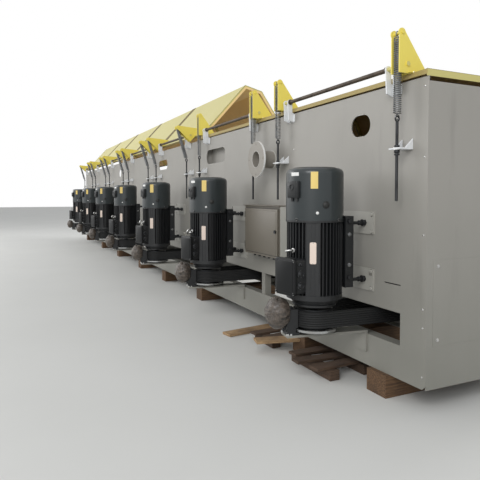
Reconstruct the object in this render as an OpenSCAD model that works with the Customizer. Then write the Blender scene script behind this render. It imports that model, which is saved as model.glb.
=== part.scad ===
// Straight-line wire drawing machine with seven drawing blocks in one long body.
// The motors stand along the back panel at -Y, the drums stand on the deck at +Y.
// X runs along the machine and +X is the near end. Z is up and zero is the floor.
// Heights named in the sections below are measured from the bottom of the steel base.

/* [Body] */
// Distance from one drawing block to the next
pitch = 2100; // [2000:20:2300]
// Depth of the body from the back panel to the front face
body_d = 1050; // [1020:10:1200]
// Height of the timbers that the base rests on
timber_h = 160; // [100:10:220]
// Width of a timber along the machine
timber_w = 200; // [120:10:260]
// How far a timber reaches out on each side of the body
timber_over = 40; // [20:5:80]
// Height of the channel beams of the base
beam_h = 233; // [200:1:260]
// Width of a beam's flange
flange_w = 90; // [80:1:110]
// Thickness of a beam's flange
flange_t = 11; // [8:1:16]
// Thickness of the sheets and webs of the body
panel_t = 8; // [5:1:12]
// Height of the belt slot above the base beam
slot_h = 222; // [200:1:260]
// Distance of the slot's ends from the ends of the body
slot_end = 229; // [180:1:300]
// Height of the back panel's top edge
panel_top = 2008; // [1950:1:2080]
// Cut at the lower outer corners of the back panel
corner_cut = 28; // [10:1:50]
// Width of the square posts of the frame
post_w = 70; // [50:1:80]
// Height of the deck that carries the drums
deck_z = 900; // [880:5:1000]
// Thickness of the deck
deck_t = 20; // [12:1:30]
// Height of the front apron's edge above the deck
apron_lip = 40; // [20:1:60]
// Gap between two apron panels
apron_gap = 12; // [6:1:20]

/* [Back panel openings] */
// Height of a vent opening
vent_d = 160; // [100:1:180]
// Height of the vent openings' centres
vent_z = 1775; // [1700:1:1820]
// Length of the oblong opening
oblong_l = 630; // [400:1:700]
// Height of the oblong opening
oblong_h = 185; // [120:1:260]
// Height of the oblong opening's centre
oblong_z = 1760; // [1720:1:1790]
// Outer diameter of the duct flange
duct_d = 350; // [320:1:360]
// Inner diameter of the duct
duct_bore = 158; // [120:1:200]
// Thickness of the duct's wall
duct_wall = 6; // [3:1:10]
// Thickness of the duct flange
duct_t = 17; // [10:1:25]
// How far the duct flange stands off the panel
duct_reach = 180; // [120:1:220]
// Height of the duct's axis
duct_z = 1612; // [1550:1:1660]
// Bolt circle of the duct flange
duct_pcd = 296; // [270:1:310]
// Diameter of the holes in the duct flange
duct_hole = 14; // [10:1:18]

/* [Motors] */
// Distance of the first motor's axis from the near end
motor_s = 696; // [600:1:760]
// Distance of a motor's axis from the back panel
motor_off = 385; // [370:1:420]
// Diameter of the fan cover
cover_d = 413; // [400:1:420]
// Height of the fan cover's lower edge
cover_z = 1068; // [1050:1:1090]
// Height of the fan cover itself
cover_h = 382; // [340:1:420]
// Radius of the fan cover's upper edge
cover_edge = 42; // [10:1:70]
// Diameter over the cooling ribs
rib_d = 400; // [390:1:404]
// Diameter of the housing under the ribs
core_d = 340; // [320:1:356]
// Number of cooling ribs round the housing
rib_count = 44; // [24:4:52]
// Thickness of a cooling rib
rib_t = 6; // [4:1:8]
// Height of the housing's lower edge
housing_z = 557; // [540:1:580]
// Height of the lower end shield
shield_h = 88; // [70:1:92]
// Radius of the motor shaft
shaft_r = 30; // [24:1:36]
// Width of the foot plate
foot_w = 300; // [260:1:320]
// Thickness of the foot plate with the feet
foot_t = 70; // [50:1:90]
// Height of the foot plate's upper edge
foot_top = 1108; // [1090:1:1120]
// Distance of the foot plate's back from the motor axis
foot_off = 235; // [220:1:245]
// Height of the upper row of tension studs
stud_high = 1055; // [1030:1:1080]
// Height of the lower row of tension studs
stud_low = 640; // [620:1:680]
// Distance between the two studs of a row
stud_gap = 200; // [160:1:220]
// Radius of a tension stud
stud_r = 12; // [8:1:14]
// Width of a stud pad on the panel
pad_w = 400; // [320:1:440]
// Height of a stud pad
pad_h = 162; // [120:1:180]
// Thickness of a stud pad
pad_t = 10; // [6:1:14]
// Width of the terminal box
term_w = 200; // [160:1:220]
// Height of the terminal box
term_h = 258; // [220:1:270]
// Distance of the terminal box's face from the motor axis
term_off = 290; // [270:1:310]
// Turn of the terminal box towards the near end
term_turn = 12; // [0:1:20]

/* [Drive] */
// Diameter of the motor pulley over its ribs
pulley_d = 270; // [220:1:290]
// Height of the pulley's lower face
pulley_z = 312; // [304:1:320]
// Height of the pulley
pulley_h = 132; // [110:1:134]
// Diameter of the driven pulley
driven_d = 420; // [380:1:460]
// Distance of the drum axis from the back panel
drum_off = 500; // [480:1:540]
// Thickness of the belt set
belt_t = 14; // [8:1:18]
// Clearance between the belt and the motor pulley
belt_gap = 5; // [3:1:8]
// Diameter of the brake disc
disc_d = 336; // [320:1:350]
// Thickness of the brake disc
disc_t = 20; // [12:1:24]
// Height of the brake disc's lower face
disc_z = 286; // [282:1:290]
// Turn of the brake towards the far end
brake_turn = 10; // [0:1:20]
// Diameter of a brake chamber
chamber_d = 205; // [170:1:220]
// Length of one brake chamber
chamber_l = 92; // [70:1:110]

/* [Drums] */
// Diameter of the drawing drum
drum_d = 560; // [480:1:600]
// Height of the drawing drum
drum_h = 330; // [280:1:380]
// Width of the gearbox
gear_w = 520; // [440:1:560]
// Width of the die box
die_w = 360; // [280:1:420]
// Height of the die box
die_h = 240; // [180:1:280]

/* [Hoods] */
// Distance of the hinge shaft from the back panel
hinge_off = 45; // [42:1:52]
// Height of the hinge shaft
hinge_z = 2108; // [2100:1:2120]
// Radius of the hinge shaft
hinge_r = 15; // [12:1:18]
// Distance of the roof under the hinge shaft
roof_drop = 58; // [50:1:62]
// Thickness of the hood's sheet
hood_t = 5; // [3:1:8]
// Length of the roof of a hood from its rear edge
roof_l = 962; // [940:1:1000]
// Length of the sloping shoulder of a hood
slope_l = 270; // [200:1:300]
// Fall of the shoulder in degrees
slope_deg = 62; // [50:1:70]
// Fall of the front sheet in degrees
front_deg = 103; // [95:1:106]
// Height of a closed hood's lower lip above the deck
lip_gap = 90; // [70:1:140]
// Opening angle of a hood
open_deg = 48; // [40:1:50]
// Distance from the near end to the first joint between hoods
hood_split = 1920; // [1880:1:1960]
// Gap between two hoods
hood_gap = 14; // [10:1:24]
// Depth of the frame inside a hood's ends
hood_rim = 42; // [30:1:60]
// Distance of a hood's near arm from the start of its bay
arm_near = 180; // [150:1:200]
// Distance between the two arms of a hood
arm_span = 1580; // [1500:10:1640]
// Width of an arm
arm_w = 80; // [70:1:100]
// Length of an arm's foot on the roof
arm_foot = 250; // [200:1:280]
// Height of the spring pin above the hinge shaft
pin_up = 197; // [180:1:215]
// Distance of the spring pin from the hinge shaft towards the motors
pin_out = 45; // [30:1:60]
// Radius of the spring pin
pin_r = 10; // [8:1:12]

/* [Springs] */
// Outer diameter of a balance spring
spring_d = 50; // [40:1:56]
// Height of the rod bracket's plate
seat_z = 1566; // [1540:1:1600]
// Width of the rod bracket
seat_w = 120; // [100:1:140]
// Radius of the threaded rod
rod_r = 10; // [8:1:12]
// Length of the rod above the bracket
rod_up = 190; // [150:1:220]
// Length of the rod below the bracket
rod_down = 348; // [300:1:400]

/* [Junction box] */
// Distance of the junction box from the near end
junction_s = 1600; // [1500:1:1640]
// Width of the junction box
junction_w = 730; // [600:1:760]
// Height of the junction box
junction_h = 485; // [400:1:520]
// Depth of the junction box
junction_d = 165; // [120:1:200]

/* [Hidden] */
BLOCKS = 7;
BAYS = [1 : BLOCKS];

// The first hoods are closed and the others stand open
CLOSED_HOODS = 2;
body_l = BLOCKS * pitch;
near_x = body_l / 2;
slot_z = beam_h + slot_h;
// Small gap that seats a piece without touching
seat = 0.3;
// Clearance that moving pieces keep
run = 6;
smooth = 48;

// Colours
STEEL_GREY = [0.62, 0.60, 0.57];
PALE_GREY = [0.78, 0.79, 0.78];
SLATE = [0.24, 0.27, 0.27];
BLACK = [0.10, 0.11, 0.12];
YELLOW = [0.88, 0.83, 0.50];
WOOD = [0.60, 0.40, 0.24];
BRIGHT = [0.75, 0.75, 0.76];

// Place along the machine for a distance from the near end
function x_of(s) = near_x - s;
function motor_x(k) = x_of(motor_s + pitch * (k - 1));
function arm_x(k, far) = x_of(arm_near + pitch * (k - 1) + (far ? arm_span : 0));
function rest_deg(k) = k > CLOSED_HOODS ? open_deg : 0;
function unit(v) = v / norm(v);
function side(v) = [v[1], -v[0]];
function corner(a, b, c) = let (m = side(unit(b - a)), n = side(unit(c - b))) (m + n) / (1 + m * n);
// Outline beside a folded line, at a distance to its right
function beside(p, d) = [
    for (i = [0 : len(p) - 1])
        i == 0 ? p[0] + d * side(unit(p[1] - p[0]))
        : i == len(p) - 1 ? p[i] + d * side(unit(p[i] - p[i - 1]))
        : p[i] + d * corner(p[i - 1], p[i], p[i + 1])
];
function backwards(p) = [for (i = [len(p) - 1 : -1 : 0]) p[i]];
function band(p, near, far) = concat(beside(p, near), backwards(beside(p, far)));
function turned(v, deg) = [v[0] * cos(deg) - v[1] * sin(deg), v[0] * sin(deg) + v[1] * cos(deg)];

// Raises what is built on the base to its height above the floor
module on_base() {
    translate([0, 0, timber_h]) children();
}

// Extrudes an outline drawn as [y, z] along X and centres it there
module across(width) {
    rotate([90, 0, 90]) translate([0, 0, -width / 2]) linear_extrude(width) children();
}

// Places children at a motor's axis, upright
module at_motor(k) {
    on_base() translate([motor_x(k), -motor_off, 0]) children();
}

module cyl(r, z, h, faces = smooth) {
    translate([0, 0, z]) cylinder(r = r, h = h, $fn = faces);
}

// Timbers and base

TIMBER_S = [420, 1460, 4020, 5700, 7350, 9450, 11550, 14300];

module timbers() color(WOOD) {
    for (s = TIMBER_S)
        translate([x_of(s * body_l / 14700) - timber_w / 2, -timber_over, 0])
            cube([timber_w, body_d + 2 * timber_over, timber_h]);
}

// Channel section of a base beam, drawn as [y, z] with its web at y = 0
module channel_section() {
    polygon([
        [0, 0], [flange_w, 0], [flange_w, flange_t], [panel_t, flange_t],
        [panel_t, beam_h - flange_t], [flange_w, beam_h - flange_t], [flange_w, beam_h], [0, beam_h]
    ]);
}

module base_beams() color(STEEL_GREY) on_base() {
    across(body_l - 2 * slot_end) channel_section();
    translate([0, body_d, 0]) across(body_l - 2 * panel_t) mirror([1, 0]) channel_section();
}

// Places along the machine where posts and cross members stand, behind the panel ends and past each joint of blocks
POST_S = 130;
FRAME_S = concat([slot_end - post_w / 2], [for (k = [1 : BLOCKS - 1]) pitch * k + POST_S],
    [body_l - slot_end + post_w / 2]);

module cross_members() color(STEEL_GREY) on_base() {
    for (s = FRAME_S)
        translate([x_of(s) - post_w / 2, panel_t, flange_t])
            difference() {
                cube([post_w, body_d - 2 * panel_t, post_w]);
                translate([panel_t, -1, panel_t])
                    cube([post_w - 2 * panel_t, body_d, post_w - 2 * panel_t]);
            }
}

module frame_posts() color(STEEL_GREY) on_base() {
    for (s = FRAME_S) {
        ended = s < slot_end || s > body_l - slot_end;
        foot = ended ? flange_t + post_w : beam_h;
        translate([x_of(s) - post_w / 2, panel_t, foot]) cube([post_w, post_w, panel_top - foot - panel_t]);
        translate([x_of(s) - post_w / 2, body_d - post_w, beam_h])
            cube([post_w, post_w, deck_z - deck_t - beam_h]);
    }
}

// Body sheets

module panel_end_outline() {
    polygon([
        [0, 0], [slot_end - corner_cut, 0], [slot_end, corner_cut], [slot_end, slot_z], [0, slot_z]
    ]);
}

module panel_ends() color(STEEL_GREY) on_base() {
    for (turn = [0, 1])
        mirror([turn, 0, 0])
            translate([near_x - slot_end, panel_t, 0]) rotate([90, 0, 0])
                linear_extrude(panel_t) panel_end_outline();
}

// Cuts a round hole through the back panel
module panel_hole(s, z, d) {
    translate([x_of(s), -1, z]) rotate([-90, 0, 0]) cylinder(d = d, h = panel_t + 2, $fn = smooth);
}

// Cuts an opening with round ends through the back panel
module panel_opening(s, z, l, h) {
    for (end = [-1, 1]) panel_hole(s + end * (l - h) / 2, z, h);
    translate([x_of(s) - (l - h) / 2, -1, z - h / 2]) cube([l - h, panel_t + 2, h]);
}

// Vent openings as distance from the near end and length
VENTS = [[665, 225], [5840, 500], [9330, 225]];
OBLONG_S = 3520;
DUCT_S = 2040;
SLIT_S = 308;
SLIT_Z = 641;
SLIT_L = 160;
SLIT_H = 8;

module back_panel() color(STEEL_GREY) on_base() difference() {
    translate([-near_x, 0, slot_z]) cube([body_l, panel_t, panel_top - slot_z]);
    for (vent = VENTS) panel_opening(vent[0], vent_z, vent[1], vent_d);
    panel_opening(OBLONG_S, oblong_z, oblong_l, oblong_h);
    panel_hole(DUCT_S, duct_z, duct_bore);
    translate([x_of(SLIT_S) - SLIT_L / 2, -1, SLIT_Z]) cube([SLIT_L, panel_t + 2, SLIT_H]);
}

// Folded line of a closed hood as [y, z] from the hinge shaft, rear edge first
rear_y = hinge_off - 12;
front_drop = hinge_z - roof_drop - slope_l * sin(slope_deg) - deck_z - lip_gap;
front_l = front_drop / sin(front_deg);
HOOD_LINE = [
    [rear_y, -roof_drop - 30],
    [rear_y, -roof_drop],
    [rear_y + roof_l, -roof_drop],
    [rear_y + roof_l + slope_l * cos(slope_deg), -roof_drop - slope_l * sin(slope_deg)],
    [
        rear_y + roof_l + slope_l * cos(slope_deg) + front_l * cos(front_deg),
        -roof_drop - slope_l * sin(slope_deg) - front_drop
    ]
];

// The end walls follow the closed hood from inside
wall_gap = hood_rim + 30;
wall_line = beside(HOOD_LINE, wall_gap);
function from_hinge(p) = [p[0] - hinge_off, p[1] + hinge_z];

module end_wall_outline() {
    polygon([
        [panel_t, 0], [body_d, 0], [body_d, deck_z],
        [from_hinge(wall_line[4])[0], deck_z],
        from_hinge(wall_line[3]), from_hinge(wall_line[2]),
        [panel_t, from_hinge(wall_line[2])[1]]
    ]);
}

module end_walls() color(STEEL_GREY) on_base() {
    for (end = [-1, 1])
        translate([end * (near_x - panel_t / 2), 0, 0]) across(panel_t) end_wall_outline();
}

module deck() color(STEEL_GREY) on_base() {
    translate([-near_x + panel_t, panel_t + post_w, deck_z - deck_t])
        cube([body_l - 2 * panel_t, body_d - panel_t - post_w, deck_t]);
}

module front_apron() color(STEEL_GREY) on_base() {
    for (k = BAYS)
        translate([x_of(pitch * k) + apron_gap / 2, body_d, flange_t])
            cube([pitch - apron_gap, panel_t, deck_z + apron_lip - flange_t]);
}

module duct_flange() color(PALE_GREY) on_base()
    translate([x_of(DUCT_S), 0, duct_z]) rotate([90, 0, 0]) difference() {
        union() {
            cyl(duct_bore / 2 + duct_wall, 0, duct_reach);
            cyl(duct_d / 2, duct_reach - duct_t, duct_t, 96);
        }
        cyl(duct_bore / 2, -1, duct_reach + 2);
        for (turn = [0 : 90 : 270])
            rotate([0, 0, turn]) translate([duct_pcd / 2, 0, duct_reach - duct_t - 1])
                cylinder(d = duct_hole, h = duct_t + 2, $fn = 24);
    }

JUNCTION_Z = 670;
DOOR_EDGE = 25;
DOOR_T = 12;

module junction_box() color(STEEL_GREY) on_base()
    translate([x_of(junction_s) - junction_w, 0, JUNCTION_Z]) {
        translate([0, DOOR_T - junction_d, 0]) cube([junction_w, junction_d - DOOR_T, junction_h]);
        translate([DOOR_EDGE, -junction_d, DOOR_EDGE])
            cube([junction_w - 2 * DOOR_EDGE, DOOR_T, junction_h - 2 * DOOR_EDGE]);
    }

// Motors

module fan_cover_outline() {
    r = cover_d / 2;
    polygon(concat(
        [[0, 0], [r, 0]],
        [for (t = [0 : 10 : 90]) [r - cover_edge * (1 - cos(t)), cover_h - cover_edge * (1 - sin(t))]],
        [[0, cover_h]]
    ));
}

module fan_covers() color(SLATE) {
    for (k = BAYS)
        at_motor(k) translate([0, 0, cover_z]) rotate_extrude($fn = 72) fan_cover_outline();
}

PLATE_TURN = -36;
PLATE_W = 100;

// Section of the ribbed housing with its smooth pad for the plate
module housing_section() {
    circle(d = core_d, $fn = 72);
    for (i = [0 : rib_count - 1])
        rotate(i * 360 / rib_count) translate([0, -rib_t / 2]) square([rib_d / 2, rib_t]);
    rotate(PLATE_TURN) translate([0, -PLATE_W / 2]) square([rib_d / 2 - 4, PLATE_W]);
}

SHIELD_RIM = 36;

module motor_bodies() color(BLACK) {
    for (k = BAYS)
        at_motor(k) difference() {
            union() {
                translate([0, 0, housing_z]) linear_extrude(cover_z - housing_z) housing_section();
                cyl(rib_d / 2 + 2, housing_z - SHIELD_RIM, SHIELD_RIM, 72);
                translate([0, 0, housing_z - shield_h])
                    cylinder(r1 = rib_d / 2 - 60, r2 = rib_d / 2 - 14, h = shield_h - SHIELD_RIM, $fn = 72);
            }
            cyl(shaft_r + seat, housing_z - shield_h - 1, shield_h);
        }
}

foot_z = stud_low - 45;

module motor_feet() color(BLACK) {
    for (k = BAYS)
        at_motor(k) difference() {
            translate([-foot_w / 2, foot_off - foot_t, foot_z])
                cube([foot_w, foot_t, foot_top - foot_z]);
            translate([0, 0, foot_z - 1]) cylinder(r = rib_d / 2 + 2 + seat, h = foot_top, $fn = 72);
            cyl(cover_d / 2 + 2, cover_z - 1, cover_h, 72);
            for (x = [-stud_gap / 2, stud_gap / 2], z = [stud_low, stud_high])
                translate([x, 0, z]) rotate([-90, 0, 0]) cylinder(r = stud_r + seat, h = 2 * foot_off, $fn = 24);
        }
}

// Studs from the foot plate to the pads, with a nut on each side of the plate
nut_t = 20;

module tension_studs() color(BLACK) {
    for (k = BAYS, x = [-stud_gap / 2, stud_gap / 2], z = [stud_low, stud_high])
        at_motor(k) translate([x, 0, z]) rotate([-90, 0, 0]) {
            translate([0, 0, stud_start]) cylinder(r = stud_r, h = motor_off - pad_t - stud_start, $fn = 24);
            translate([0, 0, foot_off]) cylinder(r = 2 * stud_r, h = nut_t, $fn = 6);
            translate([0, 0, motor_off - pad_t - nut_t]) cylinder(r = 2 * stud_r, h = nut_t, $fn = 6);
        }
}
stud_start = foot_off - foot_t / 3;

module stud_pads() color(PALE_GREY) {
    for (k = BAYS, z = [stud_low, stud_high])
        at_motor(k) translate([-pad_w / 2, motor_off - pad_t, z - pad_h / 2]) cube([pad_w, pad_t, pad_h]);
}

TERM_Z = 565;
TERM_LID = 26;
GLAND_R = 26;
GLAND_L = 22;

module terminal_boxes() color(BLACK) {
    for (k = BAYS)
        at_motor(k) rotate([0, 0, term_turn]) translate([0, -term_off, TERM_Z]) {
            difference() {
                translate([-term_w / 2 + 6, TERM_LID, 6])
                    cube([term_w - 12, term_off - TERM_LID - core_d / 2 + 20, term_h - 12]);
                translate([0, term_off, -TERM_Z]) cyl(rib_d / 2 + 2 + seat, 0, cover_z, 72);
            }
            translate([-term_w / 2, 0, 0]) cube([term_w, TERM_LID, term_h]);
            for (z = [70, 150, 215])
                translate([term_w / 2 - 6, TERM_LID + GLAND_R + 4, z]) rotate([0, 90, 0])
                    cylinder(r = z > 200 ? GLAND_R / 2 : GLAND_R, h = GLAND_L, $fn = 32);
        }
}

EYE_Z = 870;
EYE_R = 22;
EYE_ROD = 7;

module lifting_eyes() color(BRIGHT) {
    for (k = BAYS)
        at_motor(k) rotate([0, 0, term_turn]) translate([0, -rib_d / 2 - seat, EYE_Z]) rotate([90, 0, 0]) {
            cylinder(r = 16, h = 12, $fn = 24);
            cylinder(r = 10, h = 30, $fn = 24);
            translate([0, 0, 28 + EYE_R]) rotate([90, 0, 0])
                rotate_extrude($fn = 32) translate([EYE_R, 0]) circle(r = EYE_ROD, $fn = 16);
        }
}

// Drive

RIB_PITCH = 16;

// Half section of a pulley with belt grooves between two heights
module pulley_outline(r, h, bore) {
    n = floor((h - 12) / RIB_PITCH);
    start = (h - n * RIB_PITCH) / 2;
    polygon(concat(
        [[bore, 0], [r, 0]],
        [
            for (i = [0 : n - 1], p = [[0, 0], [7, 4], [7, 9], [0, 13]])
                [r - p[0], start + i * RIB_PITCH + 1.5 + p[1]]
        ],
        [[r, h], [bore, h]]
    ));
}

// Motor shaft end, pulley and brake disc turn together
module motor_pulley(k) color(BLACK) at_motor(k) {
    translate([0, 0, pulley_z]) rotate_extrude($fn = 64) pulley_outline(pulley_d / 2, pulley_h, 0);
    cyl(shaft_r, pulley_z + pulley_h - 1, housing_z - shield_h - pulley_z - pulley_h + 30);
    cyl(60, disc_z, pulley_z - disc_z + 1);
    difference() {
        cyl(disc_d / 2, disc_z, disc_t, 96);
        for (turn = [0 : 60 : 300])
            rotate([0, 0, turn]) translate([92, 0, 0]) cyl(9, disc_z - 1, disc_t + 2, 16);
    }
}

belt_h = pulley_h - 16;

// Loop around the motor pulley and the driven pulley, with its outside grown by a distance
module belt_loop(grow) {
    r = pulley_d / 2 + belt_gap + grow;
    q = driven_d / 2 + seat + grow;
    span = motor_off + drum_off;
    lean = asin((q - r) / span);
    union() {
        circle(r = r, $fn = 96);
        translate([0, span]) circle(r = q, $fn = 96);
        polygon([
            [r * cos(lean), -r * sin(lean)], [q * cos(lean), span - q * sin(lean)],
            [-q * cos(lean), span - q * sin(lean)], [-r * cos(lean), -r * sin(lean)]
        ]);
    }
}

module drive_belts() color(BLACK) {
    for (k = BAYS)
        at_motor(k) translate([0, 0, pulley_z + (pulley_h - belt_h) / 2]) difference() {
            linear_extrude(belt_h) belt_loop(belt_t);
            translate([0, 0, -1]) linear_extrude(belt_h + 2) belt_loop(0);
        }
}

// Places children at a drum's axis
module at_drum(k) {
    on_base() translate([motor_x(k), drum_off, 0]) children();
}

GEAR_Z = 480;

module driven_pulleys() color(BLACK) {
    for (k = BAYS)
        at_drum(k) {
            translate([0, 0, pulley_z]) rotate_extrude($fn = 64) pulley_outline(driven_d / 2, pulley_h, 0);
            cyl(45, pulley_z + pulley_h - 1, GEAR_Z - pulley_z - pulley_h + 1);
        }
}

module gearboxes() color(SLATE) {
    for (k = BAYS)
        at_drum(k) {
            translate([-gear_w / 2, -gear_w / 2, GEAR_Z + 30]) cube([gear_w, gear_w, deck_z - deck_t - GEAR_Z - 30]);
            translate([0, 0, GEAR_Z]) cylinder(r1 = 130, r2 = 170, h = 31, $fn = 64);
        }
}

// Half section of a drawing drum, wide at its foot and slightly tapered above
module drum_outline() {
    r = drum_d / 2;
    polygon([
        [0, 0], [r - 60, 0], [r - 60, 20], [r + 30, 20], [r + 30, 46], [r + 8, 62], [r, 90],
        [r - 6, drum_h - 40], [r + 6, drum_h - 26], [r + 6, drum_h], [r - 40, drum_h],
        [r - 52, drum_h - 22], [90, drum_h - 22], [84, drum_h + 14], [0, drum_h + 14]
    ]);
}

module drums() color(BRIGHT) {
    for (k = BAYS)
        at_drum(k) translate([0, 0, deck_z]) rotate_extrude($fn = 96) drum_outline();
}

DIE_D = 220;
DIE_LID = 24;

module die_boxes() color(SLATE) {
    for (k = BAYS)
        on_base() translate([motor_x(k) - pitch / 2, drum_off + drum_d / 2 - DIE_D, deck_z]) {
            translate([-die_w / 2, 0, 0]) cube([die_w, DIE_D, die_h - DIE_LID]);
            translate([-die_w / 2 - 8, -8, die_h - DIE_LID]) cube([die_w + 16, DIE_D + 16, DIE_LID]);
        }
}

// Brake

BRACKET_T = 16;
BRACKET_W = 130;
CALIPER_R = 138;
CALIPER_L = 92;
CALIPER_W = 120;
bracket_top = disc_z - 26;

// Places children at a motor's axis, turned to the brake, which reaches along -Y
module at_brake(k) {
    at_motor(k) rotate([0, 0, -brake_turn]) children();
}

// Plate under the brake, held by an upright plate on the base beam
module brake_brackets() color(PALE_GREY) {
    for (k = BAYS) {
        reach = CALIPER_R + CALIPER_L;
        at_motor(k) translate([0, 0, bracket_top - BRACKET_T]) linear_extrude(BRACKET_T) difference() {
            rotate(-brake_turn) translate([-BRACKET_W / 2, -reach])
                square([BRACKET_W, reach + 2 * motor_off]);
            translate([-pitch / 2, motor_off]) square([pitch, 2 * body_d]);
        }
        at_motor(k)
            translate([motor_off * tan(brake_turn) - BRACKET_W / 2, motor_off - BRACKET_T, 100])
                cube([BRACKET_W, BRACKET_T, bracket_top - 100]);
    }
}

// Caliper that straddles the disc, with a slot for the disc's edge
module brake_calipers() color(BLACK) {
    for (k = BAYS)
        at_brake(k) difference() {
            union() {
                translate([-CALIPER_W / 2, -CALIPER_R - CALIPER_L, bracket_top])
                    cube([CALIPER_W, CALIPER_L, 186]);
                for (x = [-CALIPER_W / 2 + 16, CALIPER_W / 2 - 16])
                    translate([x, -CALIPER_R - CALIPER_L, 0]) rotate([90, 0, 0])
                        for (z = [bracket_top + 34, bracket_top + 100])
                            translate([0, z, 0]) cylinder(r = 9, h = 8, $fn = 6);
            }
            translate([0, 0, 0]) cyl(disc_d / 2 + run, disc_z - run, disc_t + 2 * run, 96);
            cyl(pulley_d / 2 + belt_gap + belt_t + run, disc_z + disc_t + run - 1, 400, 96);
        }
}

CHAMBER_Z = 436;

module brake_chambers() color(PALE_GREY) {
    for (k = BAYS)
        at_brake(k) translate([0, -CALIPER_R - CALIPER_L, CHAMBER_Z]) rotate([90, 0, 0]) {
            rotate_extrude($fn = 64) polygon([
                [0, 0], [46, 0], [46, 8], [chamber_d / 2 - 26, 8], [chamber_d / 2 - 8, 20],
                [chamber_d / 2 - 8, chamber_l / 2 - 8], [chamber_d / 2, chamber_l / 2 - 8],
                [chamber_d / 2, chamber_l / 2 + 8], [chamber_d / 2 - 8, chamber_l / 2 + 8],
                [chamber_d / 2 - 8, chamber_l - 14], [chamber_d / 2 - 24, chamber_l],
                [chamber_d / 2 - 24, chamber_l + 8], [chamber_d / 2 - 6, chamber_l + 20],
                [chamber_d / 2 - 6, 2 * chamber_l - 20], [chamber_d / 2 - 34, 2 * chamber_l], [0, 2 * chamber_l]
            ]);
        }
}

// Hoods

// Hood ends as distances from the near end
function hood_from(k) = k == 1 ? 0 : hood_split + pitch * (k - 2) + hood_gap / 2;
function hood_to(k) = k == BLOCKS ? body_l : hood_split + pitch * (k - 1) - hood_gap / 2;

// Outline of an arm's cheek as [y, z] from the hinge shaft
cheek_back = -pin_out - 5;

module cheek_outline() {
    polygon([
        [cheek_back - 17, -roof_drop - 2], [cheek_back - 17 + arm_foot, -roof_drop - 2],
        [-pin_out + 26, pin_up + 8], [-pin_out - 22, pin_up + 18]
    ]);
    translate([-pin_out, pin_up]) circle(r = 28, $fn = 32);
}

CHEEK_T = 8;

// Channel arm with two cheeks, a sloping web and the spring pin
module hood_arm() {
    for (x = [-(arm_w - CHEEK_T) / 2, (arm_w - CHEEK_T) / 2])
        translate([x, 0, 0]) across(CHEEK_T) cheek_outline();
    across(arm_w) polygon(band(
        [[-pin_out + 34, pin_up - 40], [cheek_back - 17 + arm_foot, -roof_drop - 2]], 0, CHEEK_T));
    translate([-arm_w / 2 - 8, -pin_out, pin_up]) rotate([0, 90, 0]) cylinder(r = pin_r, h = arm_w + 16, $fn = 32);
}

module hood(k) color(YELLOW)
    on_base() translate([0, -hinge_off, hinge_z]) rotate([rest_deg(k), 0, 0]) {
        width = hood_to(k) - hood_from(k);
        translate([x_of((hood_from(k) + hood_to(k)) / 2), 0, 0]) {
            across(width) polygon(band(HOOD_LINE, 0, hood_t));
            for (end = [-1, 1])
                translate([end * (width - hood_t) / 2, 0, 0])
                    across(hood_t) polygon(band([for (i = [1 : 4]) HOOD_LINE[i]], 1, hood_rim));
        }
        for (far = [false, true]) translate([arm_x(k, far), 0, 0]) hood_arm();
        translate([arm_x(k, true) - arm_w / 2 - 10, 0, 0]) rotate([0, 90, 0])
            cylinder(r = hinge_r, h = arm_span + arm_w + 20, $fn = 32);
    }

HINGE_T = 10;
HINGE_GAP = 70;

// Two plates beside each arm carry the hinge shaft
module hinge_brackets() color(PALE_GREY) on_base() {
    for (k = BAYS, far = [false, true], i = [0, 1])
        translate([arm_x(k, far) + (far ? 1 : -1) * (arm_w / 2 + 30 + i * HINGE_GAP), 0, 0])
            across(HINGE_T) difference() {
                union() {
                    polygon([
                        [0, panel_top - 80], [0, panel_top], [-hinge_off + 24, panel_top + 8],
                        [-hinge_off + 24, hinge_z], [-hinge_off - 24, hinge_z], [-hinge_off - 14, panel_top - 62]
                    ]);
                    translate([-hinge_off, hinge_z]) circle(r = 26, $fn = 48);
                }
                translate([-hinge_off, hinge_z]) circle(r = hinge_r + seat, $fn = 48);
            }
}

// Springs and rods

SEAT_T = 10;
rod_y = -hinge_off - pin_out;
pin_rest = [for (k = BAYS) turned([-pin_out, pin_up], rest_deg(k))];
// Spring pin at rest as [y, z] on the base, and the rod's lean towards it
function pin_at(k) = [pin_rest[k - 1][0] - hinge_off, pin_rest[k - 1][1] + hinge_z];
function pull(k) = pin_at(k) - [rod_y, seat_z];
function lean_deg(k) = atan2(-pull(k)[0], pull(k)[1]);

// Places children at a rod's seat, with Z along the rod towards the spring pin
module at_rod(k, far) {
    on_base() translate([arm_x(k, far), rod_y, seat_z]) rotate([lean_deg(k), 0, 0]) children();
}

module rod_brackets() color(PALE_GREY) on_base() {
    for (k = BAYS, far = [false, true])
        translate([arm_x(k, far), 0, 0]) {
            difference() {
                translate([-seat_w / 2, rod_y - 40, seat_z - SEAT_T]) cube([seat_w, 40 - rod_y, SEAT_T]);
                translate([0, rod_y, seat_z - SEAT_T - 1]) cylinder(r = rod_r + 6, h = SEAT_T + 2, $fn = 32);
            }
            for (x = [-(seat_w - SEAT_T) / 2, (seat_w - SEAT_T) / 2])
                translate([x, 0, 0]) across(SEAT_T)
                    polygon([[0, seat_z - 1], [rod_y - 36, seat_z - 1], [rod_y - 36, seat_z + 14], [0, seat_z + 84]]);
        }
}

ROD_NUT = 18;
EYE_WIRE = 5;
EYE_OUT = 16;

module ring(r, wire) {
    rotate([0, 90, 0]) rotate_extrude($fn = 32) translate([r, 0]) circle(r = wire, $fn = 16);
}

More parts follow.
